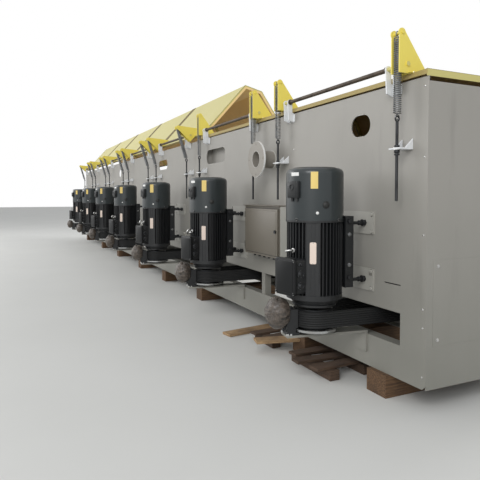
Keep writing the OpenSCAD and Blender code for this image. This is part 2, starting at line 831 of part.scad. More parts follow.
module spring_rods() color(BLACK) {
    for (k = BAYS, far = [false, true])
        at_rod(k, far) {
            translate([0, 0, -rod_down]) cylinder(r = rod_r, h = rod_down + rod_up - EYE_OUT + 2, $fn = 24);
            translate([0, 0, rod_up]) ring(EYE_OUT, EYE_WIRE);
            translate([0, 0, -SEAT_T - ROD_NUT - 4]) cylinder(r = 2 * rod_r, h = ROD_NUT, $fn = 6);
        }
}

WIRE = 6;

// Close-wound spring between the rod's eye and the hood's pin
module springs(k) color(BLACK) {
    for (far = [false, true]) {
        top = norm(pull(k)) + pin_r + EYE_WIRE + seat - EYE_OUT;
        low = rod_up + 2 * EYE_WIRE + seat;
        coil = low + EYE_OUT + EYE_WIRE;
        coil_l = top - EYE_OUT - EYE_WIRE - coil;
        turns = 14;
        at_rod(k, far) {
            translate([0, 0, low]) rotate([0, 0, 90]) ring(EYE_OUT, EYE_WIRE - 0.5);
            translate([0, 0, coil - 6]) cylinder(r1 = 8, r2 = spring_d / 2 - WIRE, h = 8, $fn = 24);
            translate([0, 0, coil]) rotate_extrude($fn = 32) polygon(concat(
                [[0, 0]],
                [
                    for (i = [0 : turns - 1], t = [0.08, 0.5, 0.92])
                        [spring_d / 2 - (t == 0.5 ? 0 : WIRE / 2), (i + t) * coil_l / turns]
                ],
                [[0, coil_l]]
            ));
            translate([0, 0, coil + coil_l - 2]) cylinder(r1 = spring_d / 2 - WIRE, r2 = 8, h = 8, $fn = 24);
            translate([0, 0, top]) ring(EYE_OUT, EYE_WIRE);
        }
    }
}

timbers();
base_beams();
cross_members();
frame_posts();
panel_ends();
back_panel();
end_walls();
deck();
front_apron();
duct_flange();
junction_box();
fan_covers();
motor_bodies();
motor_feet();
terminal_boxes();
lifting_eyes();
tension_studs();
stud_pads();
drive_belts();
driven_pulleys();
gearboxes();
drums();
die_boxes();
brake_brackets();
brake_calipers();
brake_chambers();
hinge_brackets();
rod_brackets();
spring_rods();
motor_pulley(1);  // motor_pulley_1
motor_pulley(2);  // motor_pulley_2
motor_pulley(3);  // motor_pulley_3
motor_pulley(4);  // motor_pulley_4
motor_pulley(5);  // motor_pulley_5
motor_pulley(6);  // motor_pulley_6
motor_pulley(7);  // motor_pulley_7
hood(1);  // hood_1
hood(2);  // hood_2
hood(3);  // hood_3
hood(4);  // hood_4
hood(5);  // hood_5
hood(6);  // hood_6
hood(7);  // hood_7
springs(1);  // springs_1
springs(2);  // springs_2
springs(3);  // springs_3
springs(4);  // springs_4
springs(5);  // springs_5
springs(6);  // springs_6
springs(7);  // springs_7
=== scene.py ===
"""Looks of a straight-line wire drawing machine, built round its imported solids.

Every length is in metres. X runs along the machine with the near end at +X, the motors
stand at -Y, the drums at +Y, and the floor is at zero.
"""

import logging
import math
from dataclasses import dataclass
from enum import Enum
from typing import Callable, Iterable, Optional, Sequence

import bpy
from mathutils import Matrix, Vector


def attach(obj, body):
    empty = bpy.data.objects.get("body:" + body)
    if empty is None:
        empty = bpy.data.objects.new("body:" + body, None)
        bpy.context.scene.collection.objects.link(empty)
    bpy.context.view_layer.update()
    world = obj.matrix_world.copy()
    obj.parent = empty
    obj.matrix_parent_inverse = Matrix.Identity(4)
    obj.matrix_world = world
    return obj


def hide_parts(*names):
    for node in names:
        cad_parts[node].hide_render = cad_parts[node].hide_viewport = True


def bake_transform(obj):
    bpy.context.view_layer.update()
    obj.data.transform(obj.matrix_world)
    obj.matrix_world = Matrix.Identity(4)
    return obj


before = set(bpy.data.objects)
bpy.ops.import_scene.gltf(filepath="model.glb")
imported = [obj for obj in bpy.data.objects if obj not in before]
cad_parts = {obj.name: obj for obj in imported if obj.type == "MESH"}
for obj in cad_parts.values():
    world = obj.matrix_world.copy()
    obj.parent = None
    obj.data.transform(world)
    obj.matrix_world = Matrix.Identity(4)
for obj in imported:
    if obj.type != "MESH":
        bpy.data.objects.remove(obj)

LOG = logging.getLogger("drawing_machine")
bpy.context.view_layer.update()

BLOCKS = 7
PITCH = 2.1
NEAR_X = BLOCKS * PITCH / 2
BASE_Z = 0.16
# The first motor from the near end, and the motors from the panel.
MOTOR_S = 0.696
MOTOR_OFF = 0.385
# How far the open hoods stand up, and how many of the near hoods are closed.
OPEN_DEG = 48.0
CLOSED = 2
# The hinge shaft as [y, z], and the spring pins from it on a closed hood.
HINGE = (-0.045, BASE_Z + 2.108)
PIN = (-0.045, 0.197)
# A block's near arm from its near end, the distance to the far arm, and the arms' width.
ARM_NEAR, ARM_SPAN, ARM_W = 0.18, 1.58, 0.08
# What is painted as an arm: half its width, and the height it starts at, from the hinge shaft.
ARM_HALF, ARM_FOOT_Z = 0.049, -0.0575
# The rods' distance from the panel, their seats' height, and their eyes' height over the seats.
ROD_Y, SEAT_Z, ROD_UP = -0.09, 1.566, 0.19
# Shares of a bolt head's width and height.
WASHER_WIDE, WASHER_HIGH, CHAMFER = 0.62, 0.22, 0.12
# Directions, the two sides of a middle, and how near two points have to be to count as one.
UP, ALONG, FRONT, BACK = (0, 0, 1), (1, 0, 0), (0, -1, 0), (0, 1, 0)
SIDES = (-1, 1)
MERGE, EXACT = 1e-6, 1e-7

Number = "float | Socket"
Point = tuple[float, float, float]
Point2 = tuple[float, float]
Colour = tuple[float, float, float, float]


def x_of(distance: float) -> float:
    """Gives the place along X of a distance from the near end."""
    return NEAR_X - distance


def motor_x(block: int) -> float:
    """Gives the place along X of a block's motor."""
    return x_of(MOTOR_S + PITCH * (block - 1))


def rgb(code: str) -> Colour:
    """Turns a screen colour into the linear colour that the shaders take.

    Args:
        code: Six hexadecimal digits.

    Returns:
        The linear colour with an alpha of one.
    """
    parts = [int(code[i:i + 2], 16) / 255 for i in (0, 2, 4)]
    linear = [p / 12.92 if p <= 0.04045 else ((p + 0.055) / 1.055) ** 2.4 for p in parts]
    return (linear[0], linear[1], linear[2], 1.0)


def feed(tree: bpy.types.NodeTree, target: bpy.types.NodeSocket, value: object) -> None:
    """Links a socket to an input, or sets the input to a plain value."""
    if isinstance(value, Socket):
        tree.links.new(value.socket, target)
    else:
        target.default_value = value


def operator(operation: str, swapped: bool = False) -> "Callable[[Socket, Number], Socket]":
    """Gives a method that adds one Math node.

    Args:
        operation: The Math node's operation.
        swapped: Whether the socket is the node's second value.

    Returns:
        The method.
    """
    def method(self: "Socket", other: Number) -> "Socket":
        """Adds the node."""
        return self._math(operation, other, self) if swapped else self._math(operation, self, other)

    return method


class Socket:
    """A shader socket that takes part in Python sums."""

    __add__ = operator("ADD")
    __radd__ = operator("ADD", swapped=True)
    __sub__ = operator("SUBTRACT")
    __rsub__ = operator("SUBTRACT", swapped=True)
    __mul__ = operator("MULTIPLY")
    at_most = operator("MINIMUM")
    at_least = operator("MAXIMUM")

    def __init__(self, tree: bpy.types.NodeTree, socket: bpy.types.NodeSocket) -> None:
        """Keeps the socket and the tree that it belongs to."""
        self.tree = tree
        self.socket = socket

    def _math(self, operation: str, first: Number, second: Number = 0.0, clamp: bool = False) -> "Socket":
        """Adds one Math node.

        Args:
            operation: The Math node's operation.
            first: Its first value or socket.
            second: Its second value or socket.
            clamp: Whether the result is kept from 0 to 1.

        Returns:
            The node's result.
        """
        node = self.tree.nodes.new("ShaderNodeMath")
        node.operation = operation
        node.use_clamp = clamp
        for target, value in zip(node.inputs, (first, second)):
            feed(self.tree, target, value)
        return Socket(self.tree, node.outputs[0])

    def between(self, low: float, high: float) -> "Socket":
        """Gives a ramp from 0 at one value to 1 at another, kept within that range."""
        return self._math("MULTIPLY", self - low, 1.0 / (high - low), clamp=True)

    def wave(self, period: float) -> "Socket":
        """Gives a sine wave from 0 to 1 along the socket's value."""
        return self._math("SINE", self * (2 * math.pi / period)) * 0.5 + 0.5


class Shader:
    """One material's node tree, with a factory for its nodes."""

    def __init__(self, name: str) -> None:
        """Starts a material that holds only its shader and its output."""
        self.material = bpy.data.materials.new(name)
        self.material.use_nodes = True
        self.tree = self.material.node_tree
        self.tree.nodes.clear()
        output = self.tree.nodes.new("ShaderNodeOutputMaterial")
        self.surface = self.tree.nodes.new("ShaderNodeBsdfPrincipled")
        self.tree.links.new(self.surface.outputs[0], output.inputs["Surface"])

    def node(self, kind: str, output: "int | str" = 0, **inputs: object) -> Socket:
        """Adds a node.

        Args:
            kind: The node's type name.
            output: The output that is wanted.
            **inputs: Values or sockets, by input name with _ for a space.

        Returns:
            The output asked for.
        """
        node = self.tree.nodes.new(kind)
        for key, value in inputs.items():
            feed(self.tree, node.inputs[key.replace("_", " ")], value)
        return Socket(self.tree, node.outputs[output])

    def height(self) -> Socket:
        """Gives the object's own Z as a value."""
        where = self.node("ShaderNodeTexCoord", output="Object")
        return self.node("ShaderNodeSeparateXYZ", output="Z", Vector=where)

    def noise(self, size: float, detail: float = 3.0, stretch: Point = (1.0, 1.0, 1.0),
              rough: float = 0.55) -> Socket:
        """Gives a noise from 0 to 1 over the object's own coordinates.

        Args:
            size: About how large its blots are.
            detail: How many finer layers it has.
            stretch: How often it repeats along each axis.
            rough: The share of the finer layers.

        Returns:
            The noise.
        """
        where = self.node("ShaderNodeTexCoord", output="Object")
        spot = self.node("ShaderNodeMapping", Vector=where, Scale=stretch)
        return self.node("ShaderNodeTexNoise", output="Fac", Vector=spot, Scale=1.0 / size, Detail=detail,
                         Roughness=rough)

    def mix(self, low: object, high: object, factor: Number) -> Socket:
        """Mixes two colours.

        Args:
            low: The colour or socket at a factor of 0.
            high: The colour or socket at a factor of 1.
            factor: How much of the second colour shows.

        Returns:
            The mixed colour.
        """
        node = self.tree.nodes.new("ShaderNodeMix")
        node.data_type = "RGBA"
        for place, value in ((0, factor), (6, low), (7, high)):
            feed(self.tree, node.inputs[place], value)
        return Socket(self.tree, node.outputs[2])

    def set(self, **values: object) -> None:
        """Sets or links inputs of the surface shader by name, with _ for a space."""
        for key, value in values.items():
            feed(self.tree, self.surface.inputs[key.replace("_", " ")], value)

    def bump(self, height: Socket, distance: float, strength: float = 1.0) -> None:
        """Feeds a height through a Bump node to the surface's normal."""
        self.set(Normal=self.node("ShaderNodeBump", Strength=strength, Distance=distance, Height=height))


def darker(code: str, share: float) -> str:
    """Scales the parts of a screen colour of six digits."""
    return "".join(f"{min(255, round(int(code[i:i + 2], 16) * share)):02X}" for i in (0, 2, 4))


@dataclass(frozen=True)
class Coating:
    """A finish of two colours, which each kind lays on in its own way.

    Args:
        name: The material's name.
        colour: Its own colour as six digits.
        second: The colour of its dust, stains, grain or shade.
    """

    name: str
    colour: str
    second: str

    def build(self) -> bpy.types.Material:
        """Makes the material."""
        s = Shader(self.name)
        self.lay(s, rgb(self.colour), rgb(self.second))
        return s.material

    def lay(self, s: Shader, own: Colour, other: Colour) -> None:
        """Lays the finish on a shader."""
        raise NotImplementedError


@dataclass(frozen=True)
class Paint(Coating):
    """Sprayed paint with faint clouds and small chips, in its second colour more towards the bottom.

    Args:
        rough: The paint's roughness.
        coat: The weight of a clear coat.
        chips: How much of the paint is chipped, from 0 to 1.
        low_z: Height under which the second colour shows whole.
        high_z: Height above which it is gone.
        grain: Strength of the fine unevenness.
        shine: Strength of the paint's own reflection.
    """

    rough: float = 0.45
    coat: float = 0.0
    chips: float = 0.0
    low_z: float = 0.1
    high_z: float = 1.6
    grain: float = 0.35
    shine: float = 0.5

    def lay(self, s: Shader, own: Colour, other: Colour) -> None:
        """Lays the finish on a shader."""
        clouds = s.noise(0.55, 4.0)
        streaks = s.noise(0.16, 5.0, (1.0, 1.0, 0.14))
        fine = s.noise(0.012, 3.0)
        # The second colour shows more towards the bottom, whole under low_z, broken up by clouds and streaks.
        fall = 1.0 - s.height().between(self.low_z, self.high_z)
        lower_share = (fall * 0.75 + (clouds - 0.5) * 0.35 + (streaks - 0.5) * 0.22).at_least(0.0).at_most(1.0)
        colour = s.mix(s.mix(own, other, lower_share), rgb(darker(self.second, 0.72)),
                       (streaks - 0.62).between(0.0, 0.3) * 0.35)
        specks = s.noise(0.03, 6.0, rough=0.8).between(0.70, 0.73) * self.chips
        s.set(Base_Color=s.mix(colour, rgb(darker(self.second, 0.45)), specks),
              Roughness=self.rough + (clouds - 0.5) * 0.12 + (fine - 0.5) * 0.17 * self.grain + specks * 0.25,
              Coat_Roughness=0.12)
        s.surface.inputs["Specular IOR Level"].default_value = self.shine
        if self.coat:
            s.surface.inputs["Coat Weight"].default_value = self.coat
        s.bump(fine * 0.6 + clouds * 0.4 - specks, 0.0006, self.grain)


@dataclass(frozen=True)
class Steel(Coating):
    """Bare or dark steel with fine turning marks and patches of oil.

    Args:
        rough: Its roughness.
        metal: How metallic it is.
        grain: Stretch of the fine marks along each axis.
        thread: Pitch of a thread cut along Z, or nothing.
    """

    rough: float = 0.3
    metal: float = 1.0
    grain: Point = (1.0, 1.0, 12.0)
    thread: float = 0.0

    def lay(self, s: Shader, own: Colour, other: Colour) -> None:
        """Lays the finish on a shader."""
        marks = s.noise(0.02, 2.0, self.grain)
        oil = s.noise(0.09, 5.0).between(0.5, 0.72)
        s.set(Base_Color=s.mix(own, other, oil * 0.7), Metallic=self.metal - oil * 0.25 * self.metal,
              Roughness=self.rough + (marks - 0.5) * 0.15 + oil * 0.2)
        if self.thread:
            s.bump(s.height().wave(self.thread), 0.002, 0.8)
        else:
            s.bump(marks, 0.0004, 0.3)


@dataclass(frozen=True)
class Timber(Coating):
    """Sawn timber with grain along one axis and dark dirt."""

    def lay(self, s: Shader, own: Colour, other: Colour) -> None:
        """Lays the finish on a shader."""
        grain = s.noise(0.05, 6.0, (6.0, 0.35, 6.0))
        dirt = s.noise(0.25, 4.0).between(0.45, 0.75)
        colour = s.mix(own, other, grain.between(0.35, 0.7))
        s.set(Base_Color=s.mix(colour, rgb("2A211B"), dirt * 0.6), Roughness=0.85)
        s.bump(grain, 0.003, 0.6)


@dataclass(frozen=True)
class Rubber(Coating):
    """Black rubber that is greyed by dust.

    Args:
        rough: The rubber's roughness.
        grooves: Pitch of the grooves across Z, or nothing.
    """

    rough: float = 0.6
    grooves: float = 0.0

    def lay(self, s: Shader, own: Colour, other: Colour) -> None:
        """Lays the finish on a shader."""
        grey = s.noise(0.12, 5.0)
        s.set(Base_Color=s.mix(own, other, grey.between(0.4, 0.8) * 0.5),
              Roughness=self.rough + (grey - 0.5) * 0.2)
        if self.grooves:
            s.bump(s.height().wave(self.grooves), 0.006, 0.9)
        else:
            s.bump(s.noise(0.004, 2.0), 0.0005, 0.4)


@dataclass(frozen=True)
class Film(Coating):
    """Clear film wrapped in many creases round a dusty part: lighter on the folds as a painted highlight, and
    in its second colour between them, partly the part seen through it and partly painted shade.
    """

    def lay(self, s: Shader, own: Colour, other: Colour) -> None:
        """Lays the finish on a shader."""
        folds = s.noise(0.05, 6.0, (1.0, 1.0, 2.2), 0.65)
        fine = s.noise(0.014, 4.0, (2.0, 1.0, 0.6))
        # Colour follows the folds: painted highlight on them, painted shade between them.
        fold_light_and_shade = (folds * 0.7 + fine * 0.3).between(0.36, 0.64)
        s.set(Base_Color=s.mix(other, own, fold_light_and_shade), Roughness=0.3 + fine * 0.25, Coat_Weight=0.3,
              Coat_Roughness=0.15)
        s.bump(folds + fine * 0.5, 0.02, 0.8)


class Finish(Enum):
    """Every finish of the machine."""

    PANEL = Paint("panel_grey", "9A9791", "7C7C74", rough=0.5, chips=0.25)
    FRAME = Paint("frame_grey", "838079", "66665F", rough=0.55, chips=0.5)
    PALE = Paint("pale_grey", "BDBCB6", "9C9C94", rough=0.5, chips=0.3)
    PAD = Paint("pad_grey", "ABA9A2", "8F8E86", rough=0.5, chips=0.3)
    BOX = Paint("box_beige", "6C665C", "5F5A50", rough=0.45)
    SLATE = Paint("slate_gloss", "262D2F", "20272A", rough=0.36, coat=0.22, low_z=-1.0, high_z=0.2, grain=0.1)
    BLACK = Paint("motor_black", "17191B", "111214", rough=0.48, coat=0.08, chips=0.2)
    # Hood yellow: partly the paint's own colour, partly darkened and greyed as painted shade of the roofs.
    HOOD = Paint("hood_yellow_shaded", "CCC37C", "BBAE64", rough=0.42, low_z=1.0, high_z=2.6)
    ARM = Paint("arm_yellow", "E9D762", "D8BF48", rough=0.4, low_z=1.0, high_z=2.4)
    # Inside of the hoods: partly its own tan, partly brightened as painted light.
    HOOD_INSIDE = Paint("hood_inside", "F4D49A", "E2BC7E", rough=0.6, low_z=1.0, high_z=2.6)
    ZINC = Paint("bracket_white", "E2E4E6", "C4C6C8", rough=0.4, chips=0.2)
    CHAMBER = Paint("chamber_brown", "7C736B", "5E5751", rough=0.35, coat=0.4)
    BRIGHT = Steel("steel_bright", "D0D0CF", "9A948A", 0.22)
    DRUM = Steel("drum_steel", "C4C4C2", "8E8A84", 0.28, grain=(1.0, 1.0, 30.0))
    DARK = Steel("steel_dark", "3A3B3D", "1D1D1E", 0.42, 0.8)
    BELT = Rubber("belt_black", "0A0B0C", "17181A", 0.7, grooves=0.016)
    SEAL = Rubber("seal_black", "191A19", "2C2C2A", 0.55)
    # Timber and pallet colours are partly the wood's own colour and partly painted shade from under the
    # machine.
    TIMBER = Timber("sawn_timber", "6E5339", "3C2B1F")
    DARK_TIMBER = Timber("dark_timber", "5A4636", "30241C")
    STICKER = Paint("sticker_yellow", "E8CC7A", "DCC070", rough=0.35)
    PLATE = Paint("plate_pale", "E9D8CB", "DCC8BA", rough=0.35)
    LABEL = Paint("label_white", "E4E4E2", "D0D0CC", rough=0.4)
    BLACK_GLOSS = Paint("gloss_black", "0D0F11", "0B0C0E", rough=0.45, coat=0.05, grain=0.1, shine=0.3)
    # Brown-olive strips and end rims between the hoods: painted shade of the gaps.
    JOINT = Paint("painted_gap_shade", "6E6038", "5C5030", rough=0.65)
    # Film colours with painted highlights on the folds and painted shade between them.
    FILM = Film("creased_film", "6A5F55", "241F1B")
    SPRING = Steel("spring_steel", "848688", "4A4A4A", 0.36, 0.85)
    THREAD = Steel("thread_steel", "4A4B4D", "232324", 0.4, 0.85, thread=0.005)
    DISC = Steel("disc_steel", "B4B5B5", "85817A", 0.26)
    # The hood's yellow rear flange as it looks in shade: painted shade.
    TAN = Paint("edge_tan", "A5935C", "948250", rough=0.6)
    BAR = Steel("bar_brown", "4E4338", "2C2620", 0.5, 0.5)
    FLANGE = Paint("flange_grey", "8F8A82", "7C7770", rough=0.5, chips=0.2)
    SEAM = Paint("seam_dark", "4A4844", "3C3B38", rough=0.7)
    PALE_TIMBER = Timber("pale_timber", "B89A74", "7C6044")

    def material(self) -> bpy.types.Material:
        """Gives the finish's material, which is made once."""
        found = bpy.data.materials.get(self.value.name)
        return found or self.value.build()


NODE_FINISH = {family: finish for finish, families in (
    (Finish.PANEL, "base_beams frame_posts panel_ends back_panel end_walls front_apron brake_brackets"),
    (Finish.BLACK, "motor_bodies motor_feet terminal_boxes brake_calipers"),
    (Finish.DARK, "tension_studs driven_pulleys motor_pulley springs"),
    (Finish.SLATE, "fan_covers gearboxes die_boxes"),
    (Finish.ZINC, "hinge_brackets rod_brackets"),
    (Finish.FRAME, "cross_members deck"),
    (Finish.TIMBER, "timbers"),
    (Finish.FLANGE, "duct_flange"),
    (Finish.BOX, "junction_box"),
    (Finish.BRIGHT, "lifting_eyes"),
    (Finish.PAD, "stud_pads"),
    (Finish.BELT, "drive_belts"),
    (Finish.DRUM, "drums"),
    (Finish.CHAMBER, "brake_chambers"),
    (Finish.THREAD, "spring_rods"),
    (Finish.HOOD, "hood"),
) for family in families.split()}


def dress_nodes() -> None:
    """Gives every carried-over node its finish."""
    for name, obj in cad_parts.items():
        family = name.rstrip("0123456789").rstrip("_") if name[-1].isdigit() else name
        obj.data.materials.clear()
        obj.data.materials.append(NODE_FINISH[family].material())
        if family == "hood":
            paint_arms(obj, int(name[-1]))
        LOG.info("dressed %s", name)


def paint_arms(obj: bpy.types.Object, block: int) -> None:
    """Gives the faces of a hood's arms their stronger yellow, while the rest keeps the hood's yellow darkened
    as painted shade.

    Args:
        obj: The hood's own solid.
        block: The hood's number.
    """
    obj.data.materials.append(Finish.ARM.material())
    back = at_hood(block).inverted() @ obj.matrix_world
    arms = arms_x(block)
    for face in obj.data.polygons:
        middle = back @ face.center
        if middle.z > ARM_FOOT_Z and min(abs(middle.x - x) for x in arms) < ARM_HALF:
            face.material_index = 1


def turn_about(axis: str, degrees: float) -> Matrix:
    """Gives a turn about a main axis."""
    return Matrix.Rotation(math.radians(degrees), 4, axis)


def shift(x: float, y: float, z: float) -> Matrix:
    """Gives a move."""
    return Matrix.Translation((x, y, z))


def facing(place: Point, way: Point) -> Matrix:
    """Gives the matrix that puts a piece built up along Z at a place, pointing a given way."""
    return Matrix.Translation(place) @ Vector(way).to_track_quat("Z", "Y").to_matrix().to_4x4()


class Shape:
    """One modelled piece, shaped with the editor's own operators."""

    def __init__(self, name: str, adding: Callable, **settings: object) -> None:
        """Adds an object with an operator and takes it over."""
        bpy.ops.object.select_all(action="DESELECT")
        adding(**settings)
        self.obj = bpy.context.object
        self.obj.name = name
        bpy.ops.object.transform_apply(location=True, rotation=True, scale=True)

    @classmethod
    def block(cls, name: str, low: Point, high: Point) -> "Shape":
        """Starts from a box between two corners."""
        a, b = Vector(low), Vector(high)
        return cls(name, bpy.ops.mesh.primitive_cube_add, size=1.0, location=(a + b) / 2, scale=b - a)

    @classmethod
    def rod(cls, name: str, radius: float, start: Point, end: Point, sides: int = 24,
            tip: Optional[float] = None) -> "Shape":
        """Starts from a round or many-sided bar.

        Args:
            name: The piece's name.
            radius: Radius at the start.
            start: Middle of its first end.
            end: Middle of its second end.
            sides: Number of sides.
            tip: Radius at the end, if it differs.

        Returns:
            The bar.
        """
        a, b = Vector(start), Vector(end)
        return cls(name, bpy.ops.mesh.primitive_cone_add, vertices=sides, radius1=radius,
                   radius2=radius if tip is None else tip, depth=(b - a).length,
                   location=(a + b) / 2, rotation=(b - a).to_track_quat("Z", "Y").to_euler())

    @classmethod
    def pin(cls, name: str, radius: float, low: float, high: float, sides: int = 24) -> "Shape":
        """Starts from an upright bar on the Z axis."""
        return cls.rod(name, radius, (0, 0, low), (0, 0, high), sides)

    @classmethod
    def hoop(cls, name: str, radius: float, wire: float, place: Point, way: Point,
             steps: tuple[int, int] = (40, 8)) -> "Shape":
        """Starts from a ring of round wire round an axis through a place."""
        return cls(name, bpy.ops.mesh.primitive_torus_add, major_radius=radius, minor_radius=wire,
                   major_segments=steps[0], minor_segments=steps[1],
                   location=place, rotation=Vector(way).to_track_quat("Z", "Y").to_euler())

    @classmethod
    def dome(cls, name: str, radius: float, flat: float) -> "Shape":
        """Starts from a ball at the origin that is flattened along Z."""
        return cls(name, bpy.ops.mesh.primitive_uv_sphere_add, segments=20, ring_count=12, radius=radius,
                   location=(0, 0, 0), scale=(1.0, 1.0, flat))

    @classmethod
    def lathe(cls, name: str, profile: Sequence[Point2], steps: int = 48, start_deg: float = 0.0,
              sweep_deg: float = 360.0) -> "Shape":
        """Spins an outline of radius and height round Z.

        Args:
            name: The piece's name.
            profile: Corners as radius and height.
            steps: Number of steps round.
            start_deg: Where the sweep starts, from +X.
            sweep_deg: How far it goes, anticlockwise seen from above.

        Returns:
            The turned piece.
        """
        piece = cls(name, bpy.ops.mesh.primitive_plane_add, size=1.0)
        piece.obj.data.transform(shift(0.0, 0.0, profile[0][1]))
        piece.pick_all().edit(bpy.ops.mesh.merge, type="CENTER")
        piece.obj.data.vertices[0].co = (profile[0][0], 0.0, profile[0][1])
        for (r0, z0), (r1, z1) in zip(profile, profile[1:]):
            piece.pick_points(lambda p: abs(p.x - r0) < EXACT and abs(p.z - z0) < EXACT)
            piece.extrude((r1 - r0, 0.0, z1 - z0))
        piece.obj.data.transform(turn_about("Z", start_deg))
        piece.pick_all().edit(bpy.ops.mesh.spin, steps=steps, angle=-math.radians(sweep_deg),
                              center=(0.0, 0.0, 0.0), axis=(0.0, 0.0, 1.0))
        return piece.clean()

    @classmethod
    def folded(cls, name: str, line: Sequence[Point2], low: float, high: float, thick: float) -> "Shape":
        """Folds a sheet along a line of [y, z] points.

        Args:
            name: The piece's name.
            line: The folded line, seen along X.
            low: Its start along X.
            high: Its end along X.
            thick: Its thickness.

        Returns:
            The folded sheet.
        """
        piece = cls(name, bpy.ops.mesh.primitive_plane_add, size=1.0)
        (y0, z0), (y1, z1) = line[0], line[1]
        for vertex in piece.obj.data.vertices:
            x, first = (low if vertex.co.x < 0 else high), vertex.co.y < 0
            vertex.co = (x, y0, z0) if first else (x, y1, z1)
        for (ya, za), (yb, zb) in zip(line[1:], line[2:]):
            piece.pick_edges(lambda *ends: all((p - Vector((p.x, ya, za))).length < MERGE for p in ends))
            piece.extrude((0.0, yb - ya, zb - za))
        return piece.clean().modifier("SOLIDIFY", thickness=thick, offset=0.0, use_even_offset=True)

    def edit(self, editing: Callable, **settings: object) -> "Shape":
        """Runs one operator on what is picked, in edit mode."""
        self.activate()
        bpy.ops.object.mode_set(mode="EDIT")
        editing(**settings)
        bpy.ops.object.mode_set(mode="OBJECT")
        return self

    def activate(self) -> None:
        """Makes the piece the only selected one."""
        bpy.ops.object.select_all(action="DESELECT")
        self.obj.select_set(True)
        bpy.context.view_layer.objects.active = self.obj

    def _unpick(self, mode: tuple[bool, bool, bool]) -> bpy.types.Mesh:
        """Clears what is picked, sets the kind that is picked next and gives the mesh."""
        mesh = self.obj.data
        for parts in (mesh.vertices, mesh.edges, mesh.polygons):
            parts.foreach_set("select", [False] * len(parts))
        bpy.context.tool_settings.mesh_select_mode = mode
        return mesh

    def _pick(self, parts: Iterable, test: Callable[..., bool], mode: tuple[bool, bool, bool]) -> "Shape":
        """Picks the edges or faces that pass a test, with their points."""
        mesh = self._unpick(mode)
        for part in parts:
            if test(part):
                part.select = True
                for v in part.vertices:
                    mesh.vertices[v].select = True
        return self

    def pick_points(self, test: Callable[[Vector], bool]) -> "Shape":
        """Picks the points that pass a test of their place."""
        mesh = self._unpick((True, False, False))
        for vertex in mesh.vertices:
            vertex.select = test(vertex.co)
        for part in (*mesh.edges, *mesh.polygons):
            part.select = all(mesh.vertices[v].select for v in part.vertices)
        return self

    def pick_all(self) -> "Shape":
        """Picks every point."""
        return self.pick_points(lambda p: True)

    def pick_edges(self, test: Callable[[Vector, Vector], bool]) -> "Shape":
        """Picks the edges that pass a test of their two ends."""
        points = self.obj.data.vertices
        return self._pick(self.obj.data.edges, lambda e: test(*(points[v].co for v in e.vertices)),
                          (False, True, False))

    def pick_faces(self, test: Callable[[Vector, Vector], bool]) -> "Shape":
        """Picks the faces that pass a test of their middle and normal."""
        return self._pick(self.obj.data.polygons, lambda f: test(f.center, f.normal), (False, False, True))

    def pick_side(self, way: Point) -> "Shape":
        """Picks the faces that look one way."""
        return self.pick_faces(lambda c, n: n.dot(Vector(way)) > 0.9)

    def facing_out(self) -> "Shape":
        """Turns every normal outwards."""
        return self.pick_faces(lambda c, n: True).edit(bpy.ops.mesh.normals_make_consistent, inside=False)

    def clean(self) -> "Shape":
        """Merges doubles and turns every normal outwards."""
        return self.pick_all().edit(bpy.ops.mesh.remove_doubles, threshold=MERGE).facing_out()

    def extrude(self, move: Point) -> "Shape":
        """Extrudes what is picked by a move."""
        return self.edit(bpy.ops.mesh.extrude_region_move, TRANSFORM_OT_translate={"value": move})

    def inset(self, thickness: float, depth: float = 0.0) -> "Shape":
        """Insets the picked faces."""
        return self.edit(bpy.ops.mesh.inset, thickness=thickness, depth=depth)

    def bevel(self, offset: float, segments: int) -> "Shape":
        """Bevels the picked edges."""
        return self.edit(bpy.ops.mesh.bevel, offset=offset, segments=segments, affect="EDGES")

    def rounded(self, axis: int, radius: float, segments: int = 4) -> "Shape":
        """Rounds the edges of a block that run along an axis."""
        return self.pick_edges(lambda p, q: abs(p[axis] - q[axis]) > 0.001).bevel(radius, segments)

    def soften(self, offset: float, segments: int = 2) -> "Shape":
        """Bevels every sharp edge."""
        return self.modifier("BEVEL", width=offset, segments=segments, limit_method="ANGLE", angle_limit=0.6)

    def modifier(self, kind: str, **settings: object) -> "Shape":
        """Adds one modifier and applies it."""
        modifier = self.obj.modifiers.new(kind.lower(), kind)
        for key, value in settings.items():
            setattr(modifier, key, value)
        self.activate()
        bpy.ops.object.modifier_apply(modifier=modifier.name)
        return self

    def put(self, matrix: Matrix) -> "Shape":
        """Moves the mesh itself."""
        self.obj.data.transform(matrix)
        return self

    def copy(self, name: str, matrix: Matrix) -> "Shape":
        """Gives a copy with its own mesh, moved by a matrix."""
        twin = object.__new__(Shape)
        twin.obj = self.obj.copy()
        twin.obj.data = self.obj.data.copy()
        twin.obj.name = name
        bpy.context.scene.collection.objects.link(twin.obj)
        return twin.put(matrix)

    def join(self, others: Iterable["Shape"]) -> "Shape":
        """Takes other pieces into this one."""
        self.activate()
        for other in others:
            other.obj.select_set(True)
        bpy.ops.object.join()
        return self

    def repeat(self, name: str, spots: Sequence[Matrix]) -> "Shape":
        """Joins one copy for each spot and drops the pattern."""
        twins = [self.copy(name, spot) for spot in spots]
        self.drop()
        joined = twins[0].join(twins[1:])
        joined.obj.name = name
        return joined

    def drop(self) -> None:
        """Removes the piece."""
        mesh = self.obj.data
        bpy.data.objects.remove(self.obj)
        bpy.data.meshes.remove(mesh)

    def wear(self, finish: Finish, angle: float = 35.0) -> "Shape":
        """Gives the whole piece one finish and smooths it under an angle."""
        self.obj.data.materials.clear()
        self.obj.data.materials.append(finish.material())
        self.activate()
        bpy.ops.object.shade_smooth_by_angle(angle=math.radians(angle))
        return self

